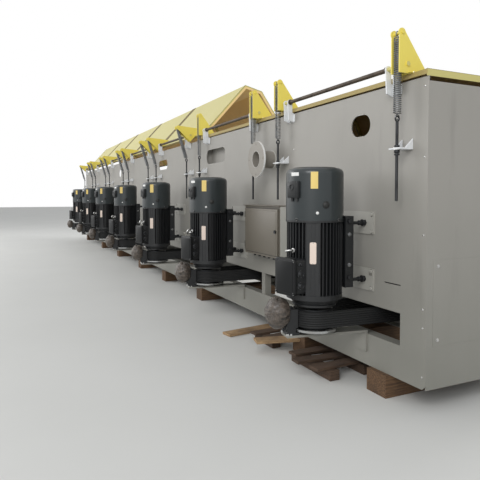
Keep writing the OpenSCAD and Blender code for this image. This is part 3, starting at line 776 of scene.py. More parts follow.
    def ride(self, body: str, slot: str, replaces: Sequence[str] = ()) -> "Shape":
        """Lets the piece move with a body and hides the nodes that it replaces."""
        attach(self.obj, body)
        if replaces:
            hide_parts(*replaces)
        LOG.info("built %s", self.obj.name)
        return self

    def settle(self, slot: str) -> None:
        """Lifts the piece to the foot of the base and fixes it to the root."""
        self.put(shift(0, 0, BASE_Z)).ride("root", slot)

    def spread(self, slot: str, replaces: str = "", places: "Sequence[Place]" = ()) -> None:
        """Puts a copy at each place and drops the pattern.

        Args:
            slot: Not used.
            replaces: The node that they stand for.
            places: Where the copies go, or nothing for every motor.
        """
        for place in places or each(at_motor):
            twin = self.copy(f"{self.obj.name}_{place.tag}", place.matrix)
            twin.ride(place.body, slot, (replaces,) if replaces else ())
        self.drop()


@dataclass(frozen=True)
class Place:
    """Where a copy goes.

    Args:
        tag: Its number in names.
        matrix: Its place and turn.
        body: The body that it rides on.
    """

    tag: str
    matrix: Matrix
    body: str = "root"


def each(where: Callable[[int], Matrix], body: str = "root") -> list[Place]:
    """Gives a place in every block.

    Args:
        where: Gives the place and turn from the block's number.
        body: The body, where {} takes the block's number.

    Returns:
        The places.
    """
    return [Place(str(k), where(k), body.format(k)) for k in range(1, BLOCKS + 1)]


def rest_deg(block: int) -> float:
    """Gives how far a hood stands open."""
    return OPEN_DEG if block > CLOSED else 0.0


def arm_x(block: int, far: bool) -> float:
    """Gives the place along X of one of a hood's arms."""
    return x_of(ARM_NEAR + PITCH * (block - 1) + (ARM_SPAN if far else 0.0))


def arms_x(block: int) -> list[float]:
    """Gives the places along X of a hood's near and far arm."""
    return [arm_x(block, far) for far in (False, True)]


def at_motor(block: int) -> Matrix:
    """Gives the frame of a motor: its axis, at the height of the base."""
    return shift(motor_x(block), -MOTOR_OFF, BASE_Z)


def at_hood(block: int) -> Matrix:
    """Gives the frame of a hood, on its hinge shaft and turned as it stands."""
    return shift(0.0, HINGE[0], HINGE[1]) @ turn_about("X", rest_deg(block))


def pull(block: int) -> Point2:
    """Gives the way from a rod's eye to the spring pin as [y, z]."""
    a = math.radians(rest_deg(block))
    y = PIN[0] * math.cos(a) - PIN[1] * math.sin(a) + HINGE[0]
    z = PIN[0] * math.sin(a) + PIN[1] * math.cos(a) + HINGE[1]
    return (y - ROD_Y, z - BASE_Z - SEAT_Z - ROD_UP)


def at_rod(block: int, far: bool) -> Matrix:
    """Gives the frame of an upright rod at its seat."""
    return shift(arm_x(block, far), ROD_Y, BASE_Z + SEAT_Z)


def at_spring(block: int, far: bool) -> Matrix:
    """Gives the frame of a spring at the rod's eye, with Z towards the spring pin."""
    y, z = pull(block)
    return at_rod(block, far) @ shift(0.0, 0.0, ROD_UP) @ turn_about("X", math.degrees(math.atan2(-y, z)))


def bolts(name: str, across: float, height: float, finish: Finish, spots: Sequence[Matrix]) -> Shape:
    """Models hexagon heads on their washers, each standing on the Z of its spot.

    Args:
        name: The piece's name.
        across: The heads' width over their corners.
        height: The heads' height.
        finish: The heads' finish.
        spots: Where they go.

    Returns:
        The bolt heads as one piece.
    """
    washer = Shape.pin(name, across * WASHER_WIDE, -0.0005, height * WASHER_HIGH, 20).wear(Finish.BRIGHT)
    head = Shape.pin(name, across / 2, height * 0.2, height, 6)
    head.pick_edges(lambda p, q: min(p.z, q.z) > height * 0.99).bevel(height * CHAMFER, 1)
    return head.wear(finish).join([washer]).repeat(name, spots)


@dataclass
class FanCover:
    """What is fixed to a motor's fan cover.

    Args:
        radius: The cover's radius.
        low: Its lower edge above the base.
        top: Its upper face above the base.
        film: Thickness of its labels.
    """

    radius: float = 0.2065
    low: float = 1.068
    top: float = 1.45
    film: float = 0.0008

    def build(self) -> None:
        """Builds the rim, the air grille, the labels, the small box and the plugs."""
        r, low, top = self.radius, self.low, self.top
        outline = [(r - 0.002, low), (r + 0.0018, low), (r + 0.0018, low + 0.012), (r, low + 0.0145)]
        Shape.lathe("cover_rim", outline, 64).wear(Finish.BLACK).spread("slate_paint")
        grille = Shape.hoop("air_grille", 0.15, 0.003, (0, 0, top + 0.002), UP, (56, 6))
        rings = [Shape.hoop("ring", 0.03 + 0.02 * i, 0.0022, (0, 0, top + 0.0025), UP, (48, 6))
                 for i in range(6)]
        bars = [Shape.rod("bar", 0.0025, (0.148, 0, top + 0.003), (-0.148, 0, top + 0.003), 8)
                .put(turn_about("Z", 45 * i)) for i in range(4)]
        grille.join(rings + bars).wear(Finish.DARK).spread("dark_steel")
        self.label("warning_strip", (1.302, 1.418), -34, 0.05, Finish.STICKER)
        self.label("cover_label", (1.392, 1.416), -75, 0.07, Finish.LABEL)
        self.connector()
        seat = self.on_wall(-11, 1.19)
        cap = Shape.dome("cover_plug", 0.022, 0.45).put(seat)
        cap.join([Shape.hoop("seat", 0.022, 0.004, (0, 0, 0), UP, (24, 8)).put(seat)])
        cap.wear(Finish.SEAL).spread("belt_rubber")
        dot = Shape.dome("cover_cap", 0.011, 0.5).put(self.on_wall(-28, 1.135))
        dot.wear(Finish.LABEL).spread("zinc_steel")
        spots = [self.on_wall(a, 1.088, 0.002) for a in (-70, 20, 110, 200)]
        bolts("cover_screws", 0.016, 0.007, Finish.DARK, spots).spread("dark_steel")

    def on_wall(self, azimuth: float, height: float, out: float = 0.0) -> Matrix:
        """Gives the frame of a spot on the round wall, with Z pointing out."""
        a = math.radians(azimuth)
        way = (math.cos(a), math.sin(a), 0.0)
        return facing(((self.radius + out) * way[0], (self.radius + out) * way[1], height), way)

    def label(self, name: str, heights: Point2, azimuth: float, width: float, finish: Finish) -> None:
        """Builds a thin label that lies on the round wall.

        Args:
            name: Its name.
            heights: Its lower and its upper edge above the base.
            azimuth: Where its middle faces, in degrees from +X.
            width: Its width round the wall.
            finish: Its finish.
        """
        sweep = math.degrees(width / self.radius)
        (low, high), inner, outer = heights, self.radius - 0.001, self.radius + self.film
        outline = [(inner, low), (outer, low), (outer, high), (inner, high)]
        Shape.lathe(name, outline, 8, azimuth - sweep / 2, sweep).wear(finish).spread("zinc_steel")

    def connector(self) -> None:
        """Builds the small connector box on the cover's side."""
        r = self.radius
        box = Shape.block("connector_box", (-0.048, r - 0.02, -0.058), (0.048, r + 0.026, 0.058))
        box.pick_side(BACK).inset(0.007).extrude((0, 0.008, 0)).soften(0.004)
        socket = Shape.hoop("socket", 0.018, 0.005, (0, r + 0.034, 0.018), BACK, (28, 8))
        glands = [Shape.rod("gland", 0.011, (x, r + 0.002, -0.058), (x, r + 0.002, -0.082), 16)
                  for x in (-0.022, 0.022)]
        box.join([socket, *glands]).wear(Finish.BLACK)
        box.put(shift(0, 0, 1.296) @ turn_about("Z", -75 - 90)).spread("black_paint")


@dataclass
class MotorBody:
    """Details of the motor body and its feet.

    Args:
        pad_deg: Where the smooth pad faces.
        pad_r: Distance of the pad's face from the axis.
        plate_r: Distance of the rating plate's face.
        feet_y: Distance of the feet's middle from the axis.
        eye_deg: Where the lifting eye stands, from the front.
        eye_z: Its height above the base.
    """

    pad_deg: float = -36.0
    pad_r: float = 0.196
    plate_r: float = 0.2016
    feet_y: float = 0.197
    eye_deg: float = 12.0
    eye_z: float = 0.87

    def build(self) -> None:
        """Builds the rating plate, the shield's ring, the foot bolts and the lifting eyes."""
        root = self.pad_r - 0.001
        plate = Shape.block("rating_plate", (root, -0.0225, 0.782), (self.plate_r, 0.0225, 0.932))
        plate.rounded(0, 0.009).wear(Finish.PLATE)
        rivets = Shape.dome("rivet", 0.0035, 0.6).wear(Finish.BRIGHT).repeat(
            "rivet", [facing((self.plate_r, 0.0, z), ALONG) for z in (0.787, 0.927)])
        line = Shape.block("line", (root, -0.05, 0.95), (self.pad_r + 0.002, 0.05, 0.956)).wear(Finish.BLACK)
        ridges = [Shape.block("ridge", (root, y - 0.002, 0.64), (self.pad_r + 0.003, y + 0.002, 1.055))
                  .soften(0.001, 1).wear(Finish.BLACK) for y in (-0.046, 0.046)]
        plate.join([rivets, line, *ridges]).put(turn_about("Z", self.pad_deg)).spread("zinc_steel")
        ring = Shape.lathe("shield_ring", [(0.14, 0.468), (0.158, 0.468), (0.158, 0.482), (0.145, 0.49)])
        ring.wear(Finish.BLACK).spread("black_paint")
        self.foot_bolts()
        self.eyes()

    def eyes(self) -> None:
        """Builds the lifting eyes, each ring at the angle at which it came to rest."""
        collar = Shape.pin("lifting_eyes", 0.016, 0, 0.012).soften(0.002)
        shank = Shape.rod("shank", 0.01, (0, 0, 0.01), (0, 0, 0.032), 20, 0.008)
        ring = Shape.hoop("ring", 0.022, 0.007, (0, 0, 0.05), BACK, (40, 12))
        wall = turn_about("Z", self.eye_deg) @ facing((0, -0.2003, self.eye_z), FRONT)
        places = each(lambda k: at_motor(k) @ wall @ turn_about("Z", 15.0 if k == 1 else 62.0 + 6.0 * k))
        collar.join([shank, ring]).wear(Finish.BRIGHT).spread("bright_steel", "lifting_eyes", places)

    def foot_bolts(self) -> None:
        """Builds the nuts and screws on both sides of the foot plate."""
        y = self.feet_y
        nuts = bolts("foot_nuts", 0.022, 0.016, Finish.SPRING, [
            facing((s * 0.15, y, z), (s, 0, 0)) for s in SIDES for z in (0.758, 0.977)])
        ends = [Shape.rod("end", 0.017, (s * 0.149, y, z), (s * 0.166, y, z), 20).soften(0.003)
                for s in SIDES for z in (0.666, 1.07)]
        nuts.join([end.wear(Finish.DARK) for end in ends]).spread("dark_steel")


@dataclass
class TerminalBox:
    """A motor's terminal box, turned towards the near end.

    Args:
        width: Width of its lid.
        height: Height of its lid.
        face: Distance of its face from the motor axis.
        low: Its lower edge above the base.
        turn: Its turn in degrees.
    """

    width: float = 0.2
    height: float = 0.258
    face: float = 0.29
    low: float = 0.565
    turn: float = 12.0

    def slab(self, name: str, inwards: float, near: float, far: float) -> Shape:
        """Starts from a block between two depths that is smaller than the lid all round."""
        x = self.width / 2 - inwards
        return Shape.block(name, (-x, near, inwards), (x, far, self.height - inwards))

    def build(self) -> None:
        """Builds the lid, the box, the glands and the screws in place of the plain solid."""
        lid = self.slab("terminal_box", 0, 0, 0.026).rounded(1, 0.024, 5)
        lid.pick_side(FRONT).inset(0.018).extrude((0, -0.004, 0))
        lid.soften(0.003).wear(Finish.BLACK_GLOSS)
        body = self.slab("body", 0.006, 0.026, 0.13).rounded(1, 0.02).wear(Finish.BLACK)
        seal = self.slab("seal", 0.004, 0.024, 0.029).rounded(1, 0.02).wear(Finish.SEAL)
        x = self.width / 2 - 0.014
        screws = bolts("screw", 0.014, 0.006, Finish.DARK, [
            facing((s * x, -0.0005, z), FRONT) for s in SIDES for z in (0.016, self.height - 0.016)])
        glands = [self.gland(z, radius) for z, radius in ((0.07, 0.026), (0.15, 0.026), (0.215, 0.013))]
        lid.join([body, seal, screws, *glands])
        lid.put(turn_about("Z", self.turn) @ shift(0, -self.face, self.low))
        lid.spread("black_paint", "terminal_boxes")

    def gland(self, height: float, radius: float) -> Shape:
        """Models one cable gland on the box's side: a nut, a ribbed cap and its rubber."""
        x, y = self.width / 2 - 0.007, 0.056
        nut = Shape.rod("gland", radius, (x, y, height), (x + 0.010, y, height), 6)
        cap = Shape.rod("cap", radius * 0.88, (x + 0.01, y, height), (x + 0.022, y, height), 20, radius * 0.7)
        rim = Shape.hoop("rim", radius * 0.6, radius * 0.14, (x + 0.022, y, height), ALONG, (24, 8))
        return nut.wear(Finish.SPRING).join([cap.wear(Finish.DARK), rim.wear(Finish.DARK)])


@dataclass
class Studs:
    """Washers on the tension studs and screws in their pads.

    Args:
        heights: Heights of the studs above the base.
        spacing: Distance of the studs from the motor's middle.
        foot_y: Distance of the feet's back from the motor axis.
        nut_y: Distance of the studs' outer nuts from the motor axis.
        pad_y: Distance of the pads' face from the motor axis.
        pad_x: Distance of the pads' screws from the motor's middle.
    """

    heights: Point2 = (0.64, 1.055)
    spacing: float = 0.1
    foot_y: float = 0.2353
    nut_y: float = 0.348
    pad_y: float = 0.375
    pad_x: float = 0.18

    def build(self) -> None:
        """Builds the washers, the lock nuts and the pad screws."""
        studs = [(s * self.spacing, z) for s in SIDES for z in self.heights]
        washer = Shape.pin("stud_washers", 0.0255, 0, 0.005, 28).soften(0.001, 1).wear(Finish.DARK)
        lock = Shape.pin("lock", 0.02, -0.033, -0.021, 6).soften(0.0015, 1).wear(Finish.DARK)
        end = Shape.pin("end", 0.0135, 0, 0.01, 16).soften(0.002, 1).wear(Finish.DARK)
        spots = [facing((x, self.nut_y, z), BACK) for x, z in studs]
        washer.join([lock, end]).repeat("stud_washers", spots).spread("dark_steel")
        front = Shape.pin("foot_washers", 0.03, 0, 0.004, 28).wear(Finish.BRIGHT)
        spots = [facing((x, self.foot_y, z), BACK) for x, z in studs]
        front.repeat("foot_washers", spots).spread("bright_steel")
        spots = [facing((s * self.pad_x, self.pad_y, z + t * 0.062), FRONT)
                 for s in SIDES for z in self.heights for t in SIDES]
        bolts("pad_screws", 0.024, 0.011, Finish.PAD, spots).spread("pale_paint")
        y = self.pad_y
        plate = Shape.block("pad_slots", (0.155, y - 0.004, 0.672), (0.19, y + 0.0005, 0.70)).soften(0.001, 1)
        plate.wear(Finish.FRAME).spread("pale_paint")


@dataclass
class Brake:
    """Disc, caliper, chambers and bracket of a motor's brake, turned towards the far end.

    Args:
        turn: The brake's turn in degrees.
        reach: Distance of the caliper's outer face from the motor axis.
        wrap_z: Height of the wrapped chambers' axis above the base.
        wrap_r: Radius of the wrap.
        wrap_l: How far it reaches out from the caliper.
        sag: How much the wrap's lower half is stretched downwards.
    """

    turn: float = -10.0
    reach: float = 0.23
    wrap_z: float = 0.418
    wrap_r: float = 0.114
    wrap_l: float = 0.145
    sag: float = 1.06

    def build(self) -> None:
        """Builds every brake's parts."""
        turning = each(at_motor, "motor_pulley_{}")
        outline = [(0.136, 0.2855), (0.1655, 0.2855), (0.1687, 0.288), (0.1687, 0.304), (0.1655, 0.3065),
                   (0.136, 0.3065)]
        Shape.lathe("disc_face", outline, 96).wear(Finish.DISC).spread("bright_steel", places=turning)
        spots = [turn_about("Z", 60 * i) @ facing((0.045, 0, 0.286), (0, 0, -1)) for i in range(6)]
        bolts("hub_bolts", 0.018, 0.008, Finish.DARK, spots).spread("dark_steel", places=turning)
        braked = each(lambda k: at_motor(k) @ turn_about("Z", self.turn))
        self.caliper(braked)
        self.chambers(braked)

    def caliper(self, places: Sequence[Place]) -> None:
        """Builds the caliper's cheek plates, its pins and the bracket's bolts."""
        y = -self.reach
        cheeks = [Shape.block("caliper_cheeks", (-0.05, y - 0.001, z), (0.05, y + 0.05, z + 0.012))
                  .soften(0.004) for z in (0.4455, 0.264)]
        pins = [Shape.rod("pin", 0.011, (x, y + 0.03, 0.262), (x, y + 0.03, 0.462), 16)
                for x in (-0.042, 0.042)]
        ribs = [Shape.block("rib", (x - 0.005, y - 0.006, 0.275), (x + 0.005, y + 0.004, 0.43)).soften(0.003)
                for x in (-0.015, 0.015)]
        cheeks[0].join([cheeks[1], *pins, *ribs]).wear(Finish.DARK).spread("black_paint", places=places)
        spots = [facing((s * 0.05, behind, 0.2605), UP) for s in SIDES for behind in (y + 0.006, -0.2)]
        bolts("bracket_bolts", 0.026, 0.013, Finish.BRIGHT, spots).spread("zinc_steel", places=places)

    def chambers(self, places: Sequence[Place]) -> None:
        """Builds the film that wraps the two chambers, with a hub and a tail, in place of the plain solids.
        """
        r, length = self.wrap_r, self.wrap_l
        outline = [(0.045, -0.02), (0.085, -0.019), (r - 0.0245, -0.006), (r - 0.0085, 0.016), (r, 0.045),
                   (r - 0.0045, length * 0.55), (r - 0.0205, length * 0.74), (r - 0.0485, length * 0.89),
                   (r - 0.0835, length * 0.975), (0.001, length)]
        wrap = Shape.lathe("brake_chambers", outline, 64)
        wrap.modifier("SUBSURF", levels=1, render_levels=1)
        folds = bpy.data.textures.new("film_folds", "CLOUDS")
        folds.noise_scale = 0.045
        wrap.modifier("DISPLACE", texture=folds, strength=0.022, mid_level=0.62)
        wrap.pick_points(lambda p: p.y < 0).edit(bpy.ops.transform.resize, value=(1.0, self.sag, 1.0),
                                                 center_override=(0.0, 0.0, 0.0))
        wrap.wear(Finish.FILM, 60)
        hub = Shape.pin("hub", 0.046, -0.03, -0.012, 32).wear(Finish.DARK)
        tail = Shape.rod("tail", 0.012, (0.02, 0.05, length / 2), (0.03, r + 0.006, length / 2), 12)
        wrap.join([hub, tail.wear(Finish.FILM)])
        wrap.put(shift(0, -self.reach, self.wrap_z) @ turn_about("X", 90))
        wrap.spread("film_wrap", "brake_chambers", places)


@dataclass
class BalanceSpring:
    """A pair of coil springs between a hood's arms and its rods.

    Args:
        radius: Radius of the coil's middle line.
        wire: Radius of the wire.
        turns: Number of turns.
        hook: Radius of the hooks.
        low: Height of the lower hook's middle over the rod's eye.
    """

    radius: float = 0.0235
    wire: float = 0.0038
    turns: int = 36
    hook: float = 0.016
    low: float = 0.0103

    def build(self) -> None:
        """Builds both springs of every hood in place of the ridged solids."""
        for block in range(1, BLOCKS + 1):
            top = math.hypot(*pull(block)) + 0.0153 - self.hook
            both = [self.one(top).put(at_spring(block, far)) for far in (False, True)]
            spring = both[0].join([both[1]])
            spring.obj.name = f"balance_springs_{block}"
            spring.wear(Finish.SPRING, 60)
            where = at_spring(block, False)
            lower, upper = (where @ Vector((0, 0, z)) for z in (self.low + 0.02, top - 0.02))
            lower.x = upper.x = sum(arms_x(block)) / 2
            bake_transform(spring.obj)
            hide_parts(f"springs_{block}")
            LOG.info("built %s", spring.obj.name)

    def one(self, top: float) -> Shape:
        """Models one spring along Z, up to the middle of its upper hook."""
        start, end = self.low + self.hook + 0.008, top - self.hook - 0.008
        steps = 14 * self.turns
        coil = Shape("coil", bpy.ops.mesh.primitive_circle_add, vertices=8, radius=self.wire,
                     location=(self.radius, 0, start), rotation=(math.pi / 2, 0, 0))
        coil.modifier("SCREW", axis="Z", angle=2 * math.pi * self.turns, screw_offset=end - start,
                      steps=steps, render_steps=steps, use_smooth_shade=True).facing_out()
        hooks = []
        for z, sign in ((self.low, 1), (top, -1)):
            bend = z + sign * 0.0245
            hooks += [Shape.hoop("hook", self.hook, self.wire, (0, 0, z), ALONG, (32, 8)),
                      Shape.pin("neck", self.wire, z + sign * self.hook, z + sign * 0.026, 10),
                      Shape.rod("bend", self.wire, (0, 0, bend), (self.radius, 0, bend), 10)]
        return coil.join(hooks)


@dataclass
class Rods:
    """The upright threaded rods, their seats on the panel, and the feet of the hinge brackets.

    Args:
        radius: Radius of a rod.
        down: Length of a rod under its seat.
        seat: Width of a seat.
        thick: Thickness of its plates.
        foot_out: Distance of a bracket's foot from its arm.
    """

    radius: float = 0.01
    down: float = 0.348
    seat: float = 0.105
    thick: float = 0.01
    foot_out: float = 0.065

    def build(self) -> None:
        """Builds every rod with its eye and nuts, every seat, and the brackets' feet."""
        arms = [(f"{k}_{'far' if far else 'near'}", k, far)
                for k in range(1, BLOCKS + 1) for far in (False, True)]
        places = [Place(tag, at_rod(k, far)) for tag, k, far in arms]
        rod = Shape.pin("spring_rods", self.radius, -self.down, ROD_UP - 0.014, 20).soften(0.002, 1)
        eye = Shape.hoop("eye", 0.016, 0.005, (0, 0, ROD_UP), ALONG, (32, 12)).wear(Finish.DARK)
        under = self.nut("nut", 2 * self.radius, -0.032, -0.014)
        rod.wear(Finish.THREAD).join([eye, under]).spread("dark_steel", "spring_rods", places)
        washers = [Shape.pin("washer", 0.024, z, z + 0.003).wear(Finish.BRIGHT) for z in (-0.0005, -0.0135)]
        nut = self.nut("rod_nuts", 0.019, 0.002, 0.018)
        nut.join([*washers, self.nut("lock", 0.019, -0.048, -0.036)]).spread("dark_steel", places=places)
        self.seats(places)
        foot = Shape.block("hinge_foot", (-0.052, -0.006, 1.935), (0.052, 0.001, 2.0)).soften(0.002, 1)
        heads = bolts("screw", 0.022, 0.011, Finish.ZINC, [
            facing((x, -0.006, z), FRONT) for x in (-0.015, 0.015) for z in (1.95, 1.985)])
        out = ARM_W / 2 + self.foot_out
        feet = [Place(tag, shift(arm_x(k, far) + (out if far else -out), 0, BASE_Z)) for tag, k, far in arms]
        foot.wear(Finish.ZINC).join([heads]).spread("zinc_steel", places=feet)

    def nut(self, name: str, radius: float, low: float, high: float) -> Shape:
        """Models a hexagon nut on a rod."""
        return Shape.pin(name, radius, low, high, 6).soften(0.0015, 1).wear(Finish.DARK)

    def seats(self, places: Sequence[Place]) -> None:
        """Builds the folded seats: a plate with a rising cheek at each end."""
        half, t = self.seat / 2, self.thick
        plate = Shape.block("rod_brackets", (-half, -0.024, -t), (half, -ROD_Y, 0.0)).soften(0.0015, 1)
        cheeks = []
        for x in (-half, half - t):
            cheek = Shape.block("cheek", (x, 0.03, -0.001), (x + t, -ROD_Y, 0.062))
            cheek.pick_points(lambda p: p.z > 0.01 and p.y < 0.04)
            cheek.edit(bpy.ops.transform.translate, value=(0.0, 0.0, -0.054))
            cheeks.append(cheek.soften(0.0015, 1))
        plate.join(cheeks).wear(Finish.ZINC).spread("zinc_steel", "rod_brackets", places)


@dataclass
class Hood:
    """What is fixed to a folding hood, drawn from its hinge shaft as it stands closed.

    Args:
        rear: Distance of the rear edge from the hinge shaft.
        drop: Distance of the roof under the hinge shaft.
        roof: Length of the roof.
        slope: Length of the sloping shoulder.
        slope_deg: Fall of the shoulder.
        front_deg: Fall of the front sheet.
        front: Height of the front sheet.
        split: Distance from the near end to the first joint between hoods.
        gap: Gap between two hoods.
        joint: Width of the strip of painted gap shade beside a hood that stands alike.
        edge: Width of the strip of painted shade on any other end.
        foot: Half the width of the plate under an arm.
    """

    rear: float = 0.033
    drop: float = 0.058
    roof: float = 0.962
    slope: float = 0.27
    slope_deg: float = 62.0
    front_deg: float = 103.0
    front: float = 0.8216
    split: float = 1.92
    gap: float = 0.014
    joint: float = 0.08
    edge: float = 0.012
    foot: float = 0.061

    def line(self) -> list[Point2]:
        """Gives the folded line of the sheet's outer face, from the rear edge of the roof."""
        a, b = math.radians(self.slope_deg), math.radians(self.front_deg)
        shoulder = (self.rear + self.roof, -self.drop)
        brow = (shoulder[0] + self.slope * math.cos(a), shoulder[1] - self.slope * math.sin(a))
        foot = (brow[0] + self.front / math.sin(b) * math.cos(b), brow[1] - self.front)
        return [(self.rear, -self.drop), shoulder, brow, foot]

    def span(self, block: int) -> Point2:
        """Gives a hood's two ends along X, the far one first."""
        near = 0.0 if block == 1 else self.split + PITCH * (block - 2) + self.gap / 2
        far = BLOCKS * PITCH if block == BLOCKS else self.split + PITCH * (block - 1) - self.gap / 2
        return (x_of(far), x_of(near))

    def offset(self, inwards: float) -> list[Point2]:
        """Gives the folded line moved inwards."""
        line = self.line()
        moved = []
        for i, point in enumerate(line):
            before = Vector(point) - Vector(line[i - 1]) if i else Vector(line[1]) - Vector(point)
            after = Vector(line[i + 1]) - Vector(point) if i + 1 < len(line) else before
            m, n = before.normalized(), after.normalized()
            m, n = Vector((m.y, -m.x)), Vector((n.y, -n.x))
            corner = (m + n) / (1 + m.dot(n))
            moved.append((point[0] + corner.x * inwards, point[1] + corner.y * inwards))
        return moved

    def alike(self, block: int, other: int) -> bool:
        """Tells whether a neighbour is there and stands as open as this hood."""
        return 1 <= other <= BLOCKS and rest_deg(block) == rest_deg(other)

    def build(self) -> None:
        """Builds the liner, the strips of painted gap shade, the front rubber, the hinge bar and the arms'
        bolts of every hood.
        """
        parts = ((self.liner, "hood_paint"), (self.strips, "belt_rubber"), (self.bar, "dark_steel"),
                 (self.feet, "hood_paint"))
        for block in range(1, BLOCKS + 1):
            for model, slot in parts:
                model(block).put(at_hood(block)).ride(f"hood_{block}", slot)

    def liner(self, block: int) -> Shape:
        """Models the lining inside the hood's sheet, in a tan brightened as painted light, and over the end
        rims that meet another hood, in painted gap shade where that hood stands alike.
        """
        low, high = self.span(block)
        inside = self.offset(0.0058)
        inside[0] = (inside[0][0] + 0.002, inside[0][1])
        # The lining's colour is brightened as painted light.
        sheet = Shape.folded(f"hood_liner_{block}", inside, low + 0.0055, high - 0.0055, 0.0008)
        ends = []
        for other, x, way in ((block + 1, low, -1), (block - 1, high, 1)):
            if 1 <= other <= BLOCKS:
                a, b = sorted((x + way * 0.0012, x - way * 0.0002))
                # End rims beside a hood that stands alike take the painted gap shade.
                finish = Finish.JOINT if self.alike(block, other) else Finish.HOOD_INSIDE
                ends.append(Shape.folded("edge", self.offset(0.028), a, b, 0.026).wear(finish))
        return sheet.wear(Finish.HOOD_INSIDE).join(ends)

    def strips(self, block: int) -> Shape:
        """Models the strips of painted gap shade over the hood's ends and the rubber along its front edge."""
        low, high = self.span(block)
        outer = self.offset(-0.0012)
        far, near = (self.joint if self.alike(block, other) else self.edge
                     for other in (block + 1, block - 1))
        # Painted shade of the gaps between hoods, laid over the hood's ends.
        edges = [Shape.folded(f"hood_seals_{block}", outer, a, b, 0.003).wear(Finish.JOINT)
                 for a, b in ((low + 0.001, low + far), (high - near, high - 0.001))]
        y, z = self.line()[-1]
        front = Shape.block("strip", (low + 0.002, y - 0.008, z - 0.012), (high - 0.002, y + 0.003, z + 0.01))
        return edges[0].join([edges[1], front.wear(Finish.SEAL)])

    def bar(self, block: int) -> Shape:
        """Models the dark sleeve of the hinge shaft, its collars and the rear edge, painted tan as the hood's
        yellow in shade.
        """
        low, high = self.span(block)
        far, near = arm_x(block, True) + ARM_W / 2 + 0.12, arm_x(block, False) - ARM_W / 2 - 0.12
        sleeve = Shape.rod(f"hinge_bar_{block}", 0.0165, (far, 0, 0), (near, 0, 0))
        collars = [Shape.rod("collar", 0.024, (x, 0, 0), (x + 0.014, 0, 0)).soften(0.002, 1)
                   for x in (far - 0.012, near)]
        # The rear edge is painted tan as painted shade of the yellow hood.
        shaded_rear_edge = Shape.block("tan_edge", (low + 0.001, self.rear - 0.0018, -self.drop - 0.0315),
                          (high - 0.001, self.rear + 0.001, -self.drop + 0.0008))
        return sleeve.join(collars).wear(Finish.BAR).join([shaded_rear_edge.wear(Finish.TAN)])

    def feet(self, block: int) -> Shape:
        """Models the plates under the arms' ends with their bolts."""
        top = 0.005 - self.drop
        plates = [Shape.block("foot", (x - self.foot, 0.0, -self.drop - 0.0005), (x + self.foot, 0.165, top))
                  .soften(0.002, 1).wear(Finish.ARM) for x in arms_x(block)]
        spots = [shift(x + s * 0.0505, y, top) for x in arms_x(block) for s in SIDES for y in (0.04, 0.14)]
        return bolts(f"arm_bolts_{block}", 0.016, 0.009, Finish.ARM, spots).join(plates)


